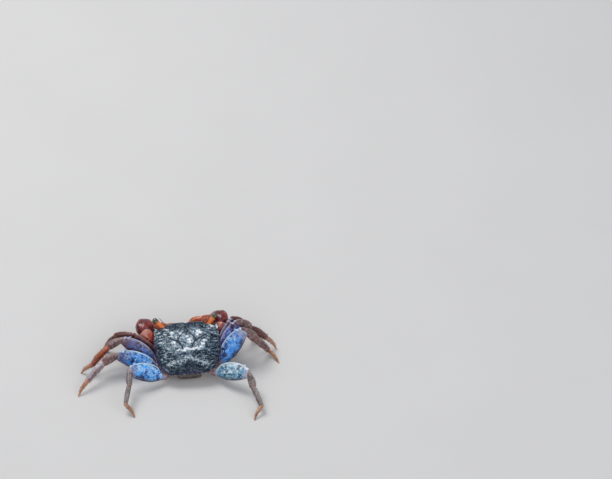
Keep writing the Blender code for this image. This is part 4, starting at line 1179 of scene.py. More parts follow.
def merus_paint(name, deep, bright, white, dark, amount, end, end_start):
    """Upper legs: blotches, a white crest, a lower edge darkened as painted shade, both ends in another
    colour, and a pale upper side at the outer end that is partly painted highlight.
    """
    paint = Paint(name, Coat_Roughness=0.16, Specular_IOR_Level=0.3)
    share, upper = paint.attribute("share"), paint.attribute("upper")
    broad = paint.noise(4.4, 5, 0.6, warp=0.8)
    streak = paint.noise(1.8, 4, 0.66, warp=0.6)
    fine = paint.noise(0.45, 3, 0.6)
    colour = merus_blotches(paint, broad, streak, fine, (deep, bright, white, dark), amount)
    crest = paint.step(upper + (fine - 0.5) * 0.3 + (streak - 0.5) * 0.3, 0.76, 0.94)
    colour = paint.mix(crest * 0.9, colour, white)
    # Painted shade: the lower side of the merus darkens towards the dark tone.
    low = paint.step((0.0 - upper) + (streak - 0.5) * 0.8, 0.5, 0.85)
    colour = paint.mix(low * 0.85, colour, dark)
    ends = paint.step(share + (streak - 0.5) * 0.5, end_start, 0.97)
    roots = 1 - paint.step(share + (streak - 0.5) * 0.2, 0.02, 0.14)
    end_tone = paint.mix(paint.step(fine * 0.5 + streak * 0.5, 0.48, 0.62) * 0.3, end, white)
    colour = paint.mix(ends * 0.9, colour, end_tone)
    colour = paint.mix(roots * 0.7, colour, end)
    # The upper side of the outer end goes white: partly pale skin, partly a painted highlight.
    end_top_and_highlight = ends * paint.step(upper + (streak - 0.5) * 0.5, 0.6, 0.9)
    colour = paint.mix(end_top_and_highlight * 0.8, colour, white)
    return limb_skin(paint, colour, BLUE_LEG_DOTS, BLUE_LEG_PITS, gloss=0.34)


def joint_paint(name, deep, warm, pale, tip, mud, edge_start):
    """Lower legs: brown and red mottling, paler upper edge, and a film of dried mud."""
    paint = Paint(name, Coat_Roughness=0.3)
    share, upper = paint.attribute("share"), paint.attribute("upper")
    broad, streak = paint.noise(3.0, 4, 0.6, warp=0.6), paint.noise(1.0, 4, 0.65)
    base = paint.ramp(broad * 0.5 + streak * 0.5, ((0.38, deep), (0.52, warm), (0.64, pale)))
    edge = paint.step(upper + (streak - 0.5) * 0.5, edge_start, 0.98)
    colour = paint.mix(edge * 0.6, base, pale)
    film = paint.step(paint.noise(2.2, 5, 0.7) + mud - 0.5, 0.4, 0.62)
    colour = paint.mix(film * 0.7, colour, MUD_FILM)
    colour = paint.mix(paint.step(share + (streak - 0.5) * 0.3, 0.86, 1.05) * 0.8, colour, tip)
    return limb_skin(paint, colour, BROWN_LEG_DOTS, BROWN_LEG_PITS, gloss=0.48)


FINGER_TIP, CLAW_RIM = (0.82, 0.5, 0.4), (0.58, 0.32, 0.28)


def claw_paint(name, deep, red, pale, tip_start, gloss):
    """Claws: glossy red skin, deeper between the grains, with a pale rim or a fading tip."""
    paint = Paint(name, Coat_Roughness=0.2, Specular_IOR_Level=0.5)
    share, relief = paint.attribute("share"), paint.attribute("relief")
    broad, streak = paint.noise(3.6, 4, 0.6, warp=0.5), paint.noise(1.2, 4, 0.6)
    base = paint.ramp(broad * 0.6 + streak * 0.4, ((0.36, deep), (0.52, red), (0.68, pale)))
    tips = paint.step(relief + (streak - 0.5) * 0.08, 0.08, 0.3)
    colour = paint.mix(tips * 0.55, base, pale)
    if tip_start:
        fade = paint.step(share + (streak - 0.5) * 0.12, tip_start, 1.0)
        colour = paint.mix(fade, colour, FINGER_TIP)
    else:
        rim = paint.step(share + (streak - 0.5) * 0.16, 0.8, 0.92)
        colour = paint.mix(rim * 0.7, colour, CLAW_RIM)
    return limb_skin(paint, colour, pale, deep, gloss=gloss, bump=0.05)


def plain_paint(name, low, mid, high, size, gloss, coat, bump, specks):
    """Skins with one broad colour: mottled in three tones, with pores, specks, and painted shade in sunk
    seams.
    """
    paint = Paint(name, Coat_Roughness=0.25)
    relief = paint.attribute("relief")
    broad, fine = paint.noise(size, 5, 0.6, warp=0.4), paint.noise(size / 6, 3, 0.6)
    colour = paint.ramp(broad * 0.6 + fine * 0.4, ((0.36, low), (0.5, mid), (0.66, high)))
    dots = 1 - paint.step(paint.cells(size / 4), 0.1, 0.26)
    colour = paint.mix(dots * specks, colour, low)
    colour = paint.mix(paint.step(relief, 0.03, 0.14) * 0.4, colour, high)
    # Painted shade: sunk seams are darkened towards the low tone.
    colour = paint.mix(paint.step(0.0 - relief, 0.05, 0.18) * 0.8, colour, low)
    rough = gloss + (fine - 0.5) * 0.3
    pores = fine * 0.5 + (1 - paint.cells(size / 7)) * 0.5
    return paint.finish(colour, rough, ((pores, bump),), coat=coat + fine * 0.05)


EYE_TONES = ((0.3, (0.012, 0.012, 0.006)), (0.5, (0.05, 0.06, 0.022)), (0.7, (0.14, 0.15, 0.06)))
FACET_EDGE = (0.01, 0.01, 0.005)


def eye_paint():
    """Glossy olive eye with fine dark-edged facets."""
    paint = Paint("eye", Coat_Roughness=0.04, Specular_IOR_Level=0.7)
    facets = paint.cells(0.09)
    broad = paint.noise(0.9, 3, 0.5)
    colour = paint.ramp(broad, EYE_TONES)
    colour = paint.mix(paint.step(facets, 0.3, 0.6) * 0.5, colour, FACET_EDGE)
    return paint.finish(colour, 0.14 + broad * 0.08, ((1 - facets, 0.012),), coat=0.9 + facets * 0.05)


# The shell

def seen_from_above(sideways, forward):
    """Places of the top without their height, for its patterns."""
    return np.stack((sideways, forward, 0 * forward), axis=-1)


def line_distance(sideways, forward, line):
    """How far each place of the top lies from a line of points."""
    here = np.stack((sideways, forward), axis=-1)
    nearest = np.full(sideways.shape, np.inf)
    for start, end in zip(line, line[1:]):
        start, end = np.array(start, float), np.array(end, float)
        along = end - start
        t = np.clip(((here - start) @ along) / along.dot(along), 0, 1)
        nearest = np.minimum(nearest, np.linalg.norm(here - start - t[..., None] * along, axis=-1))
    return nearest


def shell_height(sideways, forward):
    """Height of the shell's top, with its raised and sunk regions."""
    half = line_through(SIDE_EDGE, forward)
    share = np.clip(np.abs(sideways) / half, 0, 1)
    edge = curve_through(EDGE_HEIGHT, forward)
    height = edge + (curve_through(MIDDLE_HEIGHT, forward) - edge) * (1 - share ** SHELL_ROUND)
    for across, ahead, wide, deep, rise in REGIONS:
        for mirrored in {across, -across}:
            far = ((sideways - mirrored) / wide) ** 2 + ((forward - ahead) / deep) ** 2
            height = height + rise * np.exp(-far) * (1 - share ** REGION_REACH)
    return height


def shell_lines(sideways, forward):
    """Depth of the grooves in millimetres, and how much of an oblique line runs at each place."""
    places = seen_from_above(sideways, forward)
    across = np.abs(sideways) + waves(places, 1.6, 5.0) * GROOVE_WANDER
    sunk = np.zeros_like(sideways)
    for width, depth, line in GROOVES:
        sunk = np.maximum(sunk, depth * np.exp(-(line_distance(across, forward, line) / width) ** 2))
    raised = np.zeros_like(sideways)
    for line in STRIAE:
        far = line_distance(across, forward, line) / STRIA_HALF
        raised = np.maximum(raised, np.exp(-far ** 2))
    return sunk, raised * step(waves(places, 1.3, 23.0), -0.3, 0.15)


def shell_streaks(sideways, forward):
    """Fine broken lines that run inwards and back over the sides of the shell, -1 to 1."""
    lean = STREAK_LEAN * np.sign(sideways)
    along = sideways * np.cos(lean) + forward * np.sin(lean)
    over = forward * np.cos(lean) - sideways * np.sin(lean)
    length, breadth = STREAK_SIZE
    return waves(seen_from_above(along / length, over / breadth), 1.0, 31.0)


def pale_marks(sideways, forward):
    """How pale each place of the top is, from its marks and the chevron, with drifting edges."""
    places = seen_from_above(sideways, forward)
    x = sideways + waves(places, 2.0, 11.0) * MARK_DRIFT
    y = forward + waves(places, 2.0, 17.0) * MARK_DRIFT
    total = CHEVRON_FORCE * np.exp(-(line_distance(x, y, CHEVRON) / CHEVRON_HALF) ** 2)
    for across, ahead, wide, deep, turn, force in PALE_MARKS:
        dx, dy = x - across, y - ahead
        along = dx * math.cos(turn) + dy * math.sin(turn)
        over = dy * math.cos(turn) - dx * math.sin(turn)
        far = (along / wide) ** 2 + (over / deep) ** 2
        total = np.maximum(total, force * np.exp(-far ** MARK_EDGE))
    return total


class ShellTop:
    """The top of the shell, worked out for each vertex of a grid from -1 to 1."""

    def __init__(self, grid):
        down = (1 - grid[:, 1].astype(float)) / 2
        self.share = grid[:, 0].astype(float)
        front, rear = (curve_through(edge, np.abs(self.share)) for edge in (FRONT_EDGE, REAR_EDGE))
        self.forward = front + (rear - front) * down
        self.sideways = self.share * line_through(SIDE_EDGE, self.forward)
        self.sunk, self.raised = shell_lines(self.sideways, self.forward)
        self.streaks = shell_streaks(self.sideways, self.forward)
        self.outer = step(np.abs(self.sideways), 5.0, 10.0)  # 0 in the middle, 1 at the sides
        self.relief = self.skin_relief()
        height = shell_height(self.sideways, self.forward)
        height = height - self.sunk + self.relief - SHELL_SINK
        self.points = np.stack((self.sideways, self.forward, height), axis=-1)

    def skin_relief(self):
        """Oblique lines, tufts that rise towards the brow, grains and streaks, in millimetres."""
        flat = seen_from_above(self.sideways, self.forward)
        rim = 1 - step(1 - np.abs(self.share), 0.0, 0.035)
        ahead = step(self.forward, -4.0, 8.0)
        tufts = grains(flat * (1.0, 1.9, 1.0), 1.15, 3.0)
        return (
            self.raised * 0.16 * (1 - 0.5 * rim) + tufts * (0.05 + 0.13 * ahead)
            + grains(flat, 0.62, 8.0) * 0.05 + waves(flat, 2.4, 2.0) * 0.06
            + self.streaks * (0.03 + 0.07 * self.outer)
        )

    def wall_tone(self):
        """How far the wall's purple climbs over the rim, wider on the left, and the hind edge."""
        left, right = RIM_WIDTHS
        inwards = (1 - np.abs(self.share)) / np.where(self.share > 0, left, right)
        rim = 0.9 * (1 - step(inwards, 0.2, 1.0)) * step(-self.forward, -7.0, -3.0)
        return np.maximum(rim, 0.45 * step(-self.forward, 13.0, 14.2))

    def pale_tone(self):
        """How pale the top is, partly as painted sky reflection, with the oblique lines of its left side.
        """
        marks = pale_marks(self.sideways, self.forward)
        return marks + self.raised * 0.3 * step(self.sideways, -4, 9)

    def navy_and_shade_tone(self):
        """How navy and how shaded the top is: darker behind the chevron, at both sides and along the brow,
        partly navy colour and partly painted shade, and lighter on the crown as painted light.
        """
        x, forward = self.sideways, self.forward
        behind = step(-forward - 0.42 * np.abs(x + 1.0), 9.2, 10.2)
        beside = step(np.abs(x), 11.0, 15.5) * step(-forward, -9.0, 3.0)
        deep = np.maximum(behind, beside) + 1.1 * step(forward, 8.6, 11.0)
        deep = deep * np.where((x < -8) & (forward > -8), 0.6, 1.0)
        deep = deep + 0.3 * step(-x, 8.5, 11.5) * step(-forward, -9.5, -5.0)
        # Painted light: the crown is made paler.
        return deep - np.exp(-(x / 9.5) ** 4 - ((forward - 2.5) / 7.0) ** 4)


def wall_shapes(share, at_front):
    """How much each wall kind counts round the edge, smoothed from one to the next."""
    brow = at_front * (1 - step(share, *SOCKET_START))
    socket = at_front * step(share, *SOCKET_START) * (1 - step(share, *SOCKET_END))
    return {"brow": brow, "socket": socket, "side": 1 - brow - socket}


def wall_out(kind, share):
    """How far one kind of wall stands out from the edge, at a share of the way down."""
    outs = [out for out, _ in WALLS[kind]] + [WALL_FOOT]
    return curve_through(zip(np.linspace(0, 1, len(outs)), outs), share)


def wall_level(kind, share, edge):
    """Heights of one kind of wall below the edge's heights, at a share of the way down."""
    levels = [
        np.maximum(edge - drop, UNDERSIDE + (edge - UNDERSIDE) * least)
        for (_, drop), least in zip(WALLS[kind], WALL_LEAST)
    ]
    levels.append(np.full(len(edge), UNDERSIDE))
    cell = min(len(WALL_LEAST) - 1, int(share * len(WALL_LEAST)))
    t = share * len(WALL_LEAST) - cell
    return levels[cell] * (1 - t) + levels[cell + 1] * t


def wall_beads(border, socket):
    """Rows of beads along the walls, in millimetres, for each ring. An eye socket has none."""
    steps_round = np.linalg.norm(np.roll(border, -1, axis=0) - border, axis=-1)
    beads = 0.55 + 0.45 * np.cos(np.cumsum(steps_round) * 2 * math.pi / BEAD_PITCH)
    rows = sum(high * np.exp(-((WALL_SHARES - at) / BEAD_WIDTH) ** 2) for at, high in BEAD_ROWS)
    return rows[:, None] * beads * (1 - socket)


def wall_rings(border, at_front):
    """Rings of places down the wall from the border of the top, and their beads."""
    half = line_through(SIDE_EDGE, border[:, 1])
    kinds = wall_shapes(np.abs(border[:, 0]) / half, at_front)
    away, edge = unit(border[:, :2]), border[:, 2]
    rings = []
    for share in WALL_SHARES:
        out = sum(weight * wall_out(kind, share) for kind, weight in kinds.items())
        level = sum(weight * wall_level(kind, share, edge) for kind, weight in kinds.items())
        rings.append(np.column_stack((border[:, :2] + away * out[:, None], level)))
    rings = np.array(rings)
    rough = grains(rings * (1.0, 1.0, 1.3), 0.55, 4.0) * 0.09 + waves(rings, 1.5, 9.0) * 0.05
    beads = wall_beads(border, kinds["socket"])
    relief = rough * np.sin(WALL_SHARES * math.pi)[:, None] + beads
    rings[:, :, :2] += away[None] * relief[..., None]
    return rings, beads


def close_shell(shell, grid, points):
    """Adds the walls ring by ring below the border, and the lower face.

    Returns the places of the rings, and the heights of their beads.
    """
    shape = bmesh.new()
    shape.from_mesh(shell.data)
    for vertex, place in zip(shape.verts, points):
        vertex.co = Vector(place)
    above = ordered_loop([edge for edge in shape.edges if edge.is_boundary])
    border = [vertex.index for vertex in above]
    rings, beads = wall_rings(points[border], np.isclose(grid[border, 1], 1, atol=1e-5))
    for ring in rings:
        below = [shape.verts.new(place) for place in ring]
        for i in range(len(ring)):
            j = (i + 1) % len(ring)
            shape.faces.new((above[j], above[i], below[i], below[j]))
        above = below
    shape.faces.new(above)
    bmesh.ops.recalc_face_normals(shape, faces=shape.faces)
    shape.to_mesh(shell.data)
    shape.free()
    return rings, beads


def build_shell(paint):
    """The shell: a grid shaped into its top, closed with walls, with two eye sockets cut in."""
    deselect()
    bpy.ops.mesh.primitive_grid_add(x_subdivisions=COLUMNS, y_subdivisions=ROWS, size=2.0)
    shell = bpy.context.object
    shell.name = shell.data.name = "skin_carapace"
    grid = read_places(shell)
    top = ShellTop(grid)
    rings, beads = close_shell(shell, grid, top.points)
    write_places(shell, on_body(np.concatenate((top.points, rings.reshape(-1, 3)))) * MM)
    plain = np.zeros(beads.size)
    layers = {
        "wall": (top.wall_tone(), np.repeat(step(WALL_SHARES, 0.05, 0.3), rings.shape[1])),
        "pale": (top.pale_tone(), plain),
        "groove": (top.sunk / SHADED_GROOVE_DEPTH, plain),
        "relief": (top.relief, beads.ravel() * BEAD_WEAR),
        "deep": (top.navy_and_shade_tone(), plain),
        "streak": (top.streaks * (0.4 + 0.95 * top.outer), plain),
    }
    for name, (of_top, of_walls) in layers.items():
        set_attribute(shell, name, np.concatenate((of_top, of_walls)))
    for side in SIDES.values():
        cut_socket(shell, side)
    return finish_piece(shell, paint, "shell", "carapace")


def ordered_loop(edges):
    """The vertices of a closed border, in order round it."""
    start = edges[0].verts[0]
    loop, before, here = [start], None, start
    kept = set(edges)
    while True:
        for edge in here.link_edges:
            other = edge.other_vert(here)
            if edge in kept and other is not before:
                break
        before, here = here, other
        if here is start:
            return loop
        loop.append(here)


def cut_socket(shell, side):
    """Hollows out an eye socket with a squashed ball, tipped as the shell is."""
    x, forward, up = SOCKET_CENTRE
    centre = on_body((side * x, forward, up))
    ball = add_ball("socket", SOCKET_FACES, SOCKET_RADII, centre, Matrix(TILT.tolist()))
    activate(shell)
    cut = shell.modifiers.new("socket", "BOOLEAN")
    cut.operation = "DIFFERENCE"
    cut.solver = "MANIFOLD"
    cut.object = ball
    bpy.ops.object.modifier_apply(modifier=cut.name)
    bpy.data.objects.remove(ball)


# The underside

def tube_piece(name, rings, relief):
    """A closed skin over given rings, with relief along its normals and nearly flat ends."""
    rings = rings + normals_of(rings) * relief[..., None]
    centres = rings.mean(axis=1)
    first, first_pole = dome(rings[0], centres[0], unit(centres[0] - centres[1]), *FLAT_END)
    last, last_pole = dome(rings[-1], centres[-1], unit(centres[-1] - centres[-2]), *FLAT_END)
    caps = ((len(first), len(last)), (0, 0))
    rings = np.concatenate((first[::-1], rings, last))
    obj, row, column = sphere_skin(name, rings, (first_pole, last_pole))
    set_attribute(obj, "relief", np.pad(relief, caps, mode="edge")[row, column])
    return obj


def superellipse(turn, power):
    """A rounded square: places across and up, from -1 to 1."""
    return tuple(np.sign(f(turn)) * np.abs(f(turn)) ** (2 / power) for f in (np.cos, np.sin))


def build_tail(paint):
    """The folded tail: seven plates, each with a raised hind edge."""
    path = np.array(TAIL_PATH)
    steps_along = np.linalg.norm(np.diff(path[:, :2], axis=0), axis=1)
    stretch = np.concatenate(((0,), np.cumsum(steps_along)))
    at = np.linspace(0, stretch[-1], TAIL_RINGS)
    forward, up, wide, thick = (curve_through(zip(stretch, path[:, c]), at) for c in range(4))
    heading = unit(np.stack((np.gradient(forward), np.gradient(up)), axis=-1))
    across, out = superellipse(turns_round(TAIL_SIDES), TAIL_SQUARE)
    x = wide[:, None] * across
    z = thick[:, None] * out
    rings = np.stack((
        -x, forward[:, None] - heading[:, 1:] * z, up[:, None] + heading[:, :1] * z
    ), axis=-1)
    relief = 0.05 * waves(rings, 1.0, 3.0) + 0.03 * grains(rings, 0.6, 2.0)
    for seam in stretch[-1] * TAIL_SEAMS:
        relief += (band(at, seam, 0.2, -0.3) + band(at, seam - 0.45, 0.3, 0.12))[:, None]
    obj = tube_piece("skin_abdomen", on_body(rings), relief)
    return finish_piece(obj, paint, "shell", "abdomen")


def build_breast(paint):
    """The breastplate, with a groove between the plates of each pair of legs."""
    path = np.array(BREAST_PATH)
    at = np.linspace(path[0, 0], path[-1, 0], BREAST_RINGS)
    wide, low = (curve_through(zip(path[:, 0], path[:, c]), at) for c in (1, 2))
    top = UNDERSIDE - BREAST_GAP
    half = (top - low) / 2
    across, out = superellipse(turns_round(BREAST_SIDES), BREAST_SQUARE)
    rings = np.stack((
        wide[:, None] * across, np.broadcast_to(at[:, None], (BREAST_RINGS, BREAST_SIDES)),
        (top - half)[:, None] + half[:, None] * out,
    ), axis=-1)
    x, forward = rings[..., 0], rings[..., 1]
    under = step(-out, 0.2, 0.9)[None]
    outer = step(np.abs(x), 3.0, 4.5)
    relief = under * band(x, 0, 0.25, -0.1)
    slanted = forward - 0.12 * (np.abs(x) - 5)
    for seam in BREAST_SEAMS:
        relief = relief + outer * under * band(slanted, seam, 0.28, -0.28)
    relief = relief + 0.06 * waves(rings, 1.4, 5.0) + 0.03 * grains(rings, 0.7, 4.0)
    obj = tube_piece("skin_sternum", on_body(rings)[:, ::-1], relief[:, ::-1])
    return finish_piece(obj, paint, "underside", "sternum")


# Eyes, mouthparts and feelers

def paired_places(outwards, *places):
    """Places of one side's piece, in millimetres on the floor's axes."""
    return on_body([(outwards * x, forward, up) for x, forward, up in places])


def build_eye(side, paint):
    """The glossy eye, a ball stretched along its stalk."""
    root, tip = paired_places(SIDES[side], STALK_ROOT, STALK_TIP)
    along = unit(tip - root)
    turn = Vector(along).to_track_quat("Z", "Y").to_matrix()
    size = (EYE_RADIUS, EYE_RADIUS, EYE_LENGTH)
    centre = tip + along * (EYE_LENGTH - EYE_SINK)
    eye = add_ball(f"skin_eye_{side}", EYE_FACES, size, centre, turn)
    return finish_piece(eye, paint, "eye", f"eye_{side}")


def build_feeler(side, paint):
    """A short feeler: a stout base and a whip of rings."""
    stations = np.linspace(0, 1, len(FEELER_PATH))
    at = np.linspace(0, 1, FEELER_STATIONS)
    path = paired_places(SIDES[side], *FEELER_PATH)
    centre = np.stack([curve_through(zip(stations, path[:, c]), at) for c in range(3)], -1)
    heading = unit(np.gradient(centre, axis=0))
    up = unit(np.array((0, 0, 1.0)) - heading * heading[:, 2:])
    across = np.cross(up, heading)
    radius = FEELER_RADIUS * (1 - 0.6 * at) * (1 + 0.35 * (1 - step(at, 0.16, 0.22)))
    radius = radius * (1 - 0.16 * np.cos(at * FEELER_RINGS * 2 * math.pi) * step(at, 0.2, 0.3))
    cosines, sines = (f(turns_round(FEELER_SIDES))[None, :, None] for f in (np.cos, np.sin))
    rings = centre[:, None] + radius[:, None, None] * (
        across[:, None] * cosines + up[:, None] * sines
    )
    obj = tube_piece(f"skin_antenna_{side}", rings, np.zeros(rings.shape[:2]))
    return finish_piece(obj, paint, "claw", f"antenna_{side}")


def build_mouth_and_eyes(paints):
    """Both outer mouthparts, and both eyes on their stalks, with the feelers beside them."""
    for side, outwards in SIDES.items():
        root, tip = paired_places(outwards, MOUTH_ROOT, MOUTH_TIP)
        part = Limb(
            f"skin_mouthpart_{side}", "mouthpart", root, tip, (root + tip) / 2,
            (-outwards, 0, 0), MOUTH_HALF,
        )
        finish_piece(part.skin(MOUTH_SPACING), paints["mouthparts"], "underside", f"mouthpart_{side}")
        root, tip = paired_places(outwards, STALK_ROOT, STALK_TIP)
        stalk = Limb(
            f"skin_eyestalk_{side}", "stalk", root, tip, (root + tip) / 2, (0, 0, 1), STALK_HALF
        )
        finish_piece(stalk.skin(STALK_SPACING), paints["eyestalk"], "stalk", f"eyestalk_{side}")
        build_eye(side, paints["eye"])
        build_feeler(side, paints["feeler"])


# Colours

BLUE_DEEP, MAROON, NIGHT = (0.005, 0.026, 0.18), (0.09, 0.014, 0.012), (0.01, 0.008, 0.03)
WHITE, LILAC = (0.56, 0.74, 0.9), (0.44, 0.42, 0.58)
VIOLET, WINE = (0.05, 0.03, 0.2), (0.05, 0.02, 0.03)

# Each merus: deep, bright, white, dark, how much white, ends, and where the outer end starts
LEG_LOOKS = {
    ("left", 1): (
        (0.05, 0.012, 0.02), MAROON, (0.34, 0.13, 0.12), NIGHT, -0.05, MAROON, 0.83,
    ),
    ("left", 2): (
        (0.11, 0.06, 0.09), (0.012, 0.2, 0.7), LILAC, WINE, -0.02, (0.15, 0.06, 0.065), 0.55,
    ),
    ("left", 3): (
        BLUE_DEEP, (0.01, 0.3, 0.88), (0.52, 0.7, 0.88), NIGHT, 0.0, (0.06, 0.055, 0.17), 0.58,
    ),
    ("left", 4): (
        (0.008, 0.05, 0.3), (0.03, 0.38, 0.94), WHITE, NIGHT, 0.01, (0.32, 0.27, 0.34), 0.78,
    ),
    ("right", 1): (VIOLET, (0.13, 0.03, 0.05), LILAC, NIGHT, -0.04, MAROON, 0.83),
    ("right", 2): (VIOLET, (0.03, 0.14, 0.55), LILAC, NIGHT, -0.03, MAROON, 0.75),
    ("right", 3): (
        (0.012, 0.018, 0.15), (0.006, 0.3, 0.92), (0.5, 0.68, 0.86), NIGHT, -0.022,
        (0.34, 0.33, 0.46), 0.7,
    ),
    ("right", 4): (
        (0.03, 0.045, 0.1), (0.1, 0.35, 0.52), (0.72, 0.82, 0.86), NIGHT, 0.018, LILAC, 0.83,
    ),
}
# Lower legs: deep, warm, pale, tip, how much mud, and how high up the pale upper edge starts
JOINT_LOOKS = {
    "maroon": (
        (0.03, 0.008, 0.01), (0.12, 0.026, 0.022), (0.34, 0.12, 0.09), (0.5, 0.16, 0.07), 0.36, 0.72,
    ),
    "mauve": (
        (0.05, 0.018, 0.02), (0.17, 0.07, 0.07), (0.4, 0.28, 0.28), (0.42, 0.14, 0.08), 0.4, 0.6,
    ),
    "orange": (
        (0.1, 0.018, 0.01), (0.4, 0.065, 0.02), (0.6, 0.2, 0.09), (0.5, 0.08, 0.03), 0.32, 0.72,
    ),
    "film": (
        (0.12, 0.05, 0.055), (0.3, 0.19, 0.21), (0.62, 0.6, 0.66), (0.6, 0.2, 0.12), 0.4, 0.1,
    ),
    "grey": (
        (0.05, 0.032, 0.032), (0.16, 0.11, 0.11), (0.4, 0.36, 0.38), (0.56, 0.28, 0.16), 0.5, 0.72,
    ),
}
TOE_LOOK = ((0.2, 0.07, 0.03), (0.48, 0.2, 0.09), (0.66, 0.4, 0.26), (0.5, 0.3, 0.2), 0.42, 0.72)
# Looks of the carpus and the propodus
LEG_JOINTS = {
    ("left", 1): ("maroon", "maroon"), ("right", 1): ("maroon", "maroon"),
    ("left", 2): ("mauve", "orange"), ("right", 2): ("mauve", "maroon"),
    ("left", 3): ("mauve", "film"), ("right", 3): ("mauve", "mauve"),
    ("left", 4): ("grey", "grey"), ("right", 4): ("grey", "grey"),
}
# Claw pieces: deep, red, pale, where a fading tip starts if it has one, and roughness
CLAW_LOOKS = {
    "arm": ((0.09, 0.008, 0.004), (0.46, 0.04, 0.008), (0.7, 0.13, 0.035), None, 0.26),
    "wrist": ((0.03, 0.004, 0.006), (0.16, 0.013, 0.015), (0.38, 0.075, 0.06), None, 0.24),
    "palm": ((0.16, 0.02, 0.01), (0.52, 0.085, 0.025), (0.82, 0.32, 0.16), 0.72, 0.3),
    "finger": ((0.2, 0.03, 0.012), (0.6, 0.12, 0.04), (0.86, 0.42, 0.26), 0.35, 0.28),
}
# Other skins: low, middle and high tone, size, roughness, coat, depth of the pores, and specks
PLAIN_LOOKS = {
    # The folded tail's tones are its own brown, darkened further as painted shade for its place under the
    # shell.
    "folded tail": (
        (0.014, 0.01, 0.012), (0.055, 0.036, 0.036), (0.17, 0.115, 0.1), 3.0, 0.45, 0.15, 0.05, 0.4,
    ),
    "breastplate": (
        (0.3, 0.2, 0.15), (0.56, 0.45, 0.37), (0.72, 0.64, 0.54), 3.0, 0.5, 0.1, 0.05, 0.25,
    ),
    "leg roots": (
        (0.09, 0.04, 0.045), (0.3, 0.17, 0.16), (0.56, 0.42, 0.42), 2.0, 0.42, 0.2, 0.05, 0.4,
    ),
    "mouthparts": (
        (0.26, 0.12, 0.06), (0.5, 0.3, 0.18), (0.66, 0.5, 0.36), 1.6, 0.45, 0.15, 0.04, 0.3,
    ),
    "eyestalk": (
        (0.46, 0.07, 0.01), (0.85, 0.18, 0.018), (0.95, 0.34, 0.07), 1.0, 0.35, 0.4, 0.03, 0.35,
    ),
    "feeler": (
        (0.14, 0.05, 0.03), (0.4, 0.2, 0.1), (0.6, 0.4, 0.24), 0.8, 0.45, 0.1, 0.02, 0.3,
    ),
    "bristle": (
        (0.02, 0.012, 0.01), (0.06, 0.035, 0.025), (0.16, 0.1, 0.07), 1.2, 0.5, 0.0, 0.01, 0.2,
    ),
}


def make_paints():
    """All materials but those of the merus pieces, which are made leg by leg."""
    paints = {"shell": shell_paint(), "eye": eye_paint(), "toe": joint_paint("toes", *TOE_LOOK)}
    for name, look in PLAIN_LOOKS.items():
        paints[name] = plain_paint(name, *look)
    for kind, look in CLAW_LOOKS.items():
        paints[kind] = claw_paint("claw " + kind, *look)
    for name, look in JOINT_LOOKS.items():
        paints["joint " + name] = joint_paint("lower leg " + name, *look)
    return paints


# Legs and claws

def build_leg(side, number, paints, draw):
    """The five pieces of one walking leg, and its hairs."""
    limbs = leg_limbs(side, number)
    carpus_look, propodus_look = LEG_JOINTS[side, number]
    looks = {
        "hip": (paints["leg roots"], "underside"),
        "merus": (merus_paint(f"merus {side} {number}", *LEG_LOOKS[side, number]), "leg_blue"),
        "carpus": (paints["joint " + carpus_look], "leg_brown"),
        "propodus": (paints["joint " + propodus_look], "leg_brown"),
        "dactylus": (paints["toe"], "leg_brown"),
    }
    for kind, limb in limbs.items():
        piece = limb.skin()
        if kind == "dactylus":
            level_toe(piece)
        finish_piece(piece, *looks[kind], limb.name.removeprefix("skin_"))
    name = f"bristles_leg_{number}_{side}"
    limb_bristles(limbs, LEG_HAIRS, name, paints["bristle"], "leg_brown", draw)


def level_toe(piece):
    """Keeps a toe above the floor, with the small flat it stands on."""
    places = read_places(piece)
    places[:, 2] = np.maximum(places[:, 2], 0.0)
    write_places(piece, places)


def build_claw(side, paints, draw):
    """The four pieces of one claw, and its hairs."""
    limbs = claw_limbs(side)
    for kind, limb in limbs.items():
        piece = limb.skin(CLAW_SPACING)
        finish_piece(piece, paints[kind], "claw", limb.name.removeprefix("skin_"))
    name = f"bristles_claw_{side}"
    limb_bristles(limbs, CLAW_HAIRS, name, paints["bristle"], "claw", draw)


# Stage

# The camera: its turn about the crab, its rise above level, and its distance
VIEW_TURN = math.radians(175.5)
VIEW_RISE = math.radians(46.0)
VIEW_WIDTH = 318.75  # millimetres across the picture
VIEW_OFFSET = (61.06, 63.5)  # from the middle of the shell to the picture's middle
VIEW_FAR = 2000.0
VIEW_DEPTH = (0.01, 20.0)  # metres that the camera sees
SENSOR = 36.0

FLOOR_WIDTH = 6.0  # metres
FLOOR_TONES = ((0.66, 0.65, 0.63), (0.7, 0.69, 0.67))
# Soft lights that face the crab: place and width in metres, and watts
LIGHTS = {
    "key light": ((0.3, -0.45, 0.9), 0.5, 6.0),
    "fill light": ((-0.7, 0.5, 0.6), 0.8, 2.2),
    "back light": ((0.1, 0.9, 0.5), 0.7, 1.8),
}
SKY_TONE = (0.86, 0.9, 1.0, 1)
SKY_STRENGTH = 0.42


def place_in_scene(name, data, place, away):
    """A camera or a light at a place in metres, looking against a direction."""
    obj = bpy.data.objects.new(name, data)
    obj.location = place
    obj.rotation_euler = away.to_track_quat("Z", "Y").to_euler()
    bpy.context.scene.collection.objects.link(obj)
    return obj


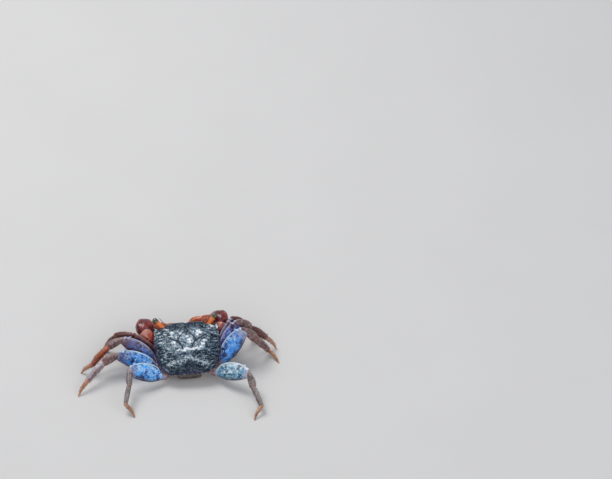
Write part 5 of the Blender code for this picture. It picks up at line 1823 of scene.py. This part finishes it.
def build_floor():
    """A pale studio floor."""
    deselect()
    bpy.ops.mesh.primitive_plane_add(size=FLOOR_WIDTH)
    floor = bpy.context.object
    floor.name = "floor"
    paint = Paint("pale floor", Specular_IOR_Level=0.3)
    broad = paint.noise(60.0, 3)
    colour = paint.mix(broad, *FLOOR_TONES)
    bumps = ((paint.noise(1.5, 2), 0.01),)
    floor.data.materials.append(paint.finish(colour, 0.8 + broad * 0.05, bumps))


def build_camera():
    """The photo's view: from behind and above, with the crab at the bottom left."""
    turn, rise = VIEW_TURN, VIEW_RISE
    right = Vector((math.cos(turn), math.sin(turn), 0))
    up = Vector((-math.sin(turn) * math.sin(rise), math.cos(turn) * math.sin(rise), math.cos(rise)))
    back = Vector((math.sin(turn) * math.cos(rise), -math.cos(turn) * math.cos(rise), math.sin(rise)))
    aim = Vector(PLACE) + right * VIEW_OFFSET[0] + up * VIEW_OFFSET[1]
    data = bpy.data.cameras.new("camera")
    data.sensor_width = SENSOR
    data.lens = SENSOR * VIEW_FAR / VIEW_WIDTH
    data.clip_start, data.clip_end = VIEW_DEPTH
    bpy.context.scene.camera = place_in_scene("camera", data, (aim + back * VIEW_FAR) * MM, back)


def build_lights():
    """Three soft lights and a faint sky."""
    for name, (place, size, power) in LIGHTS.items():
        lamp = bpy.data.lights.new(name, "AREA")
        lamp.size = size
        lamp.energy = power
        place_in_scene(name, lamp, place, Vector(place))
    world = bpy.data.worlds.new("studio")
    world.use_nodes = True
    sky = world.node_tree.nodes["Background"]
    sky.inputs["Color"].default_value = SKY_TONE
    sky.inputs["Strength"].default_value = SKY_STRENGTH
    bpy.context.scene.world = world
    bpy.context.scene.view_settings.view_transform = "Standard"


draw = random.Random(7)
build_floor()
build_camera()
build_lights()
paints = make_paints()
build_shell(paints["shell"])
build_tail(paints["folded tail"])
build_breast(paints["breastplate"])
build_mouth_and_eyes(paints)
for side in SIDES:
    build_claw(side, paints, draw)
for side in SIDES:
    for number in LEG_SIZES:
        build_leg(side, number, paints, draw)

bpy.context.view_layer.update()
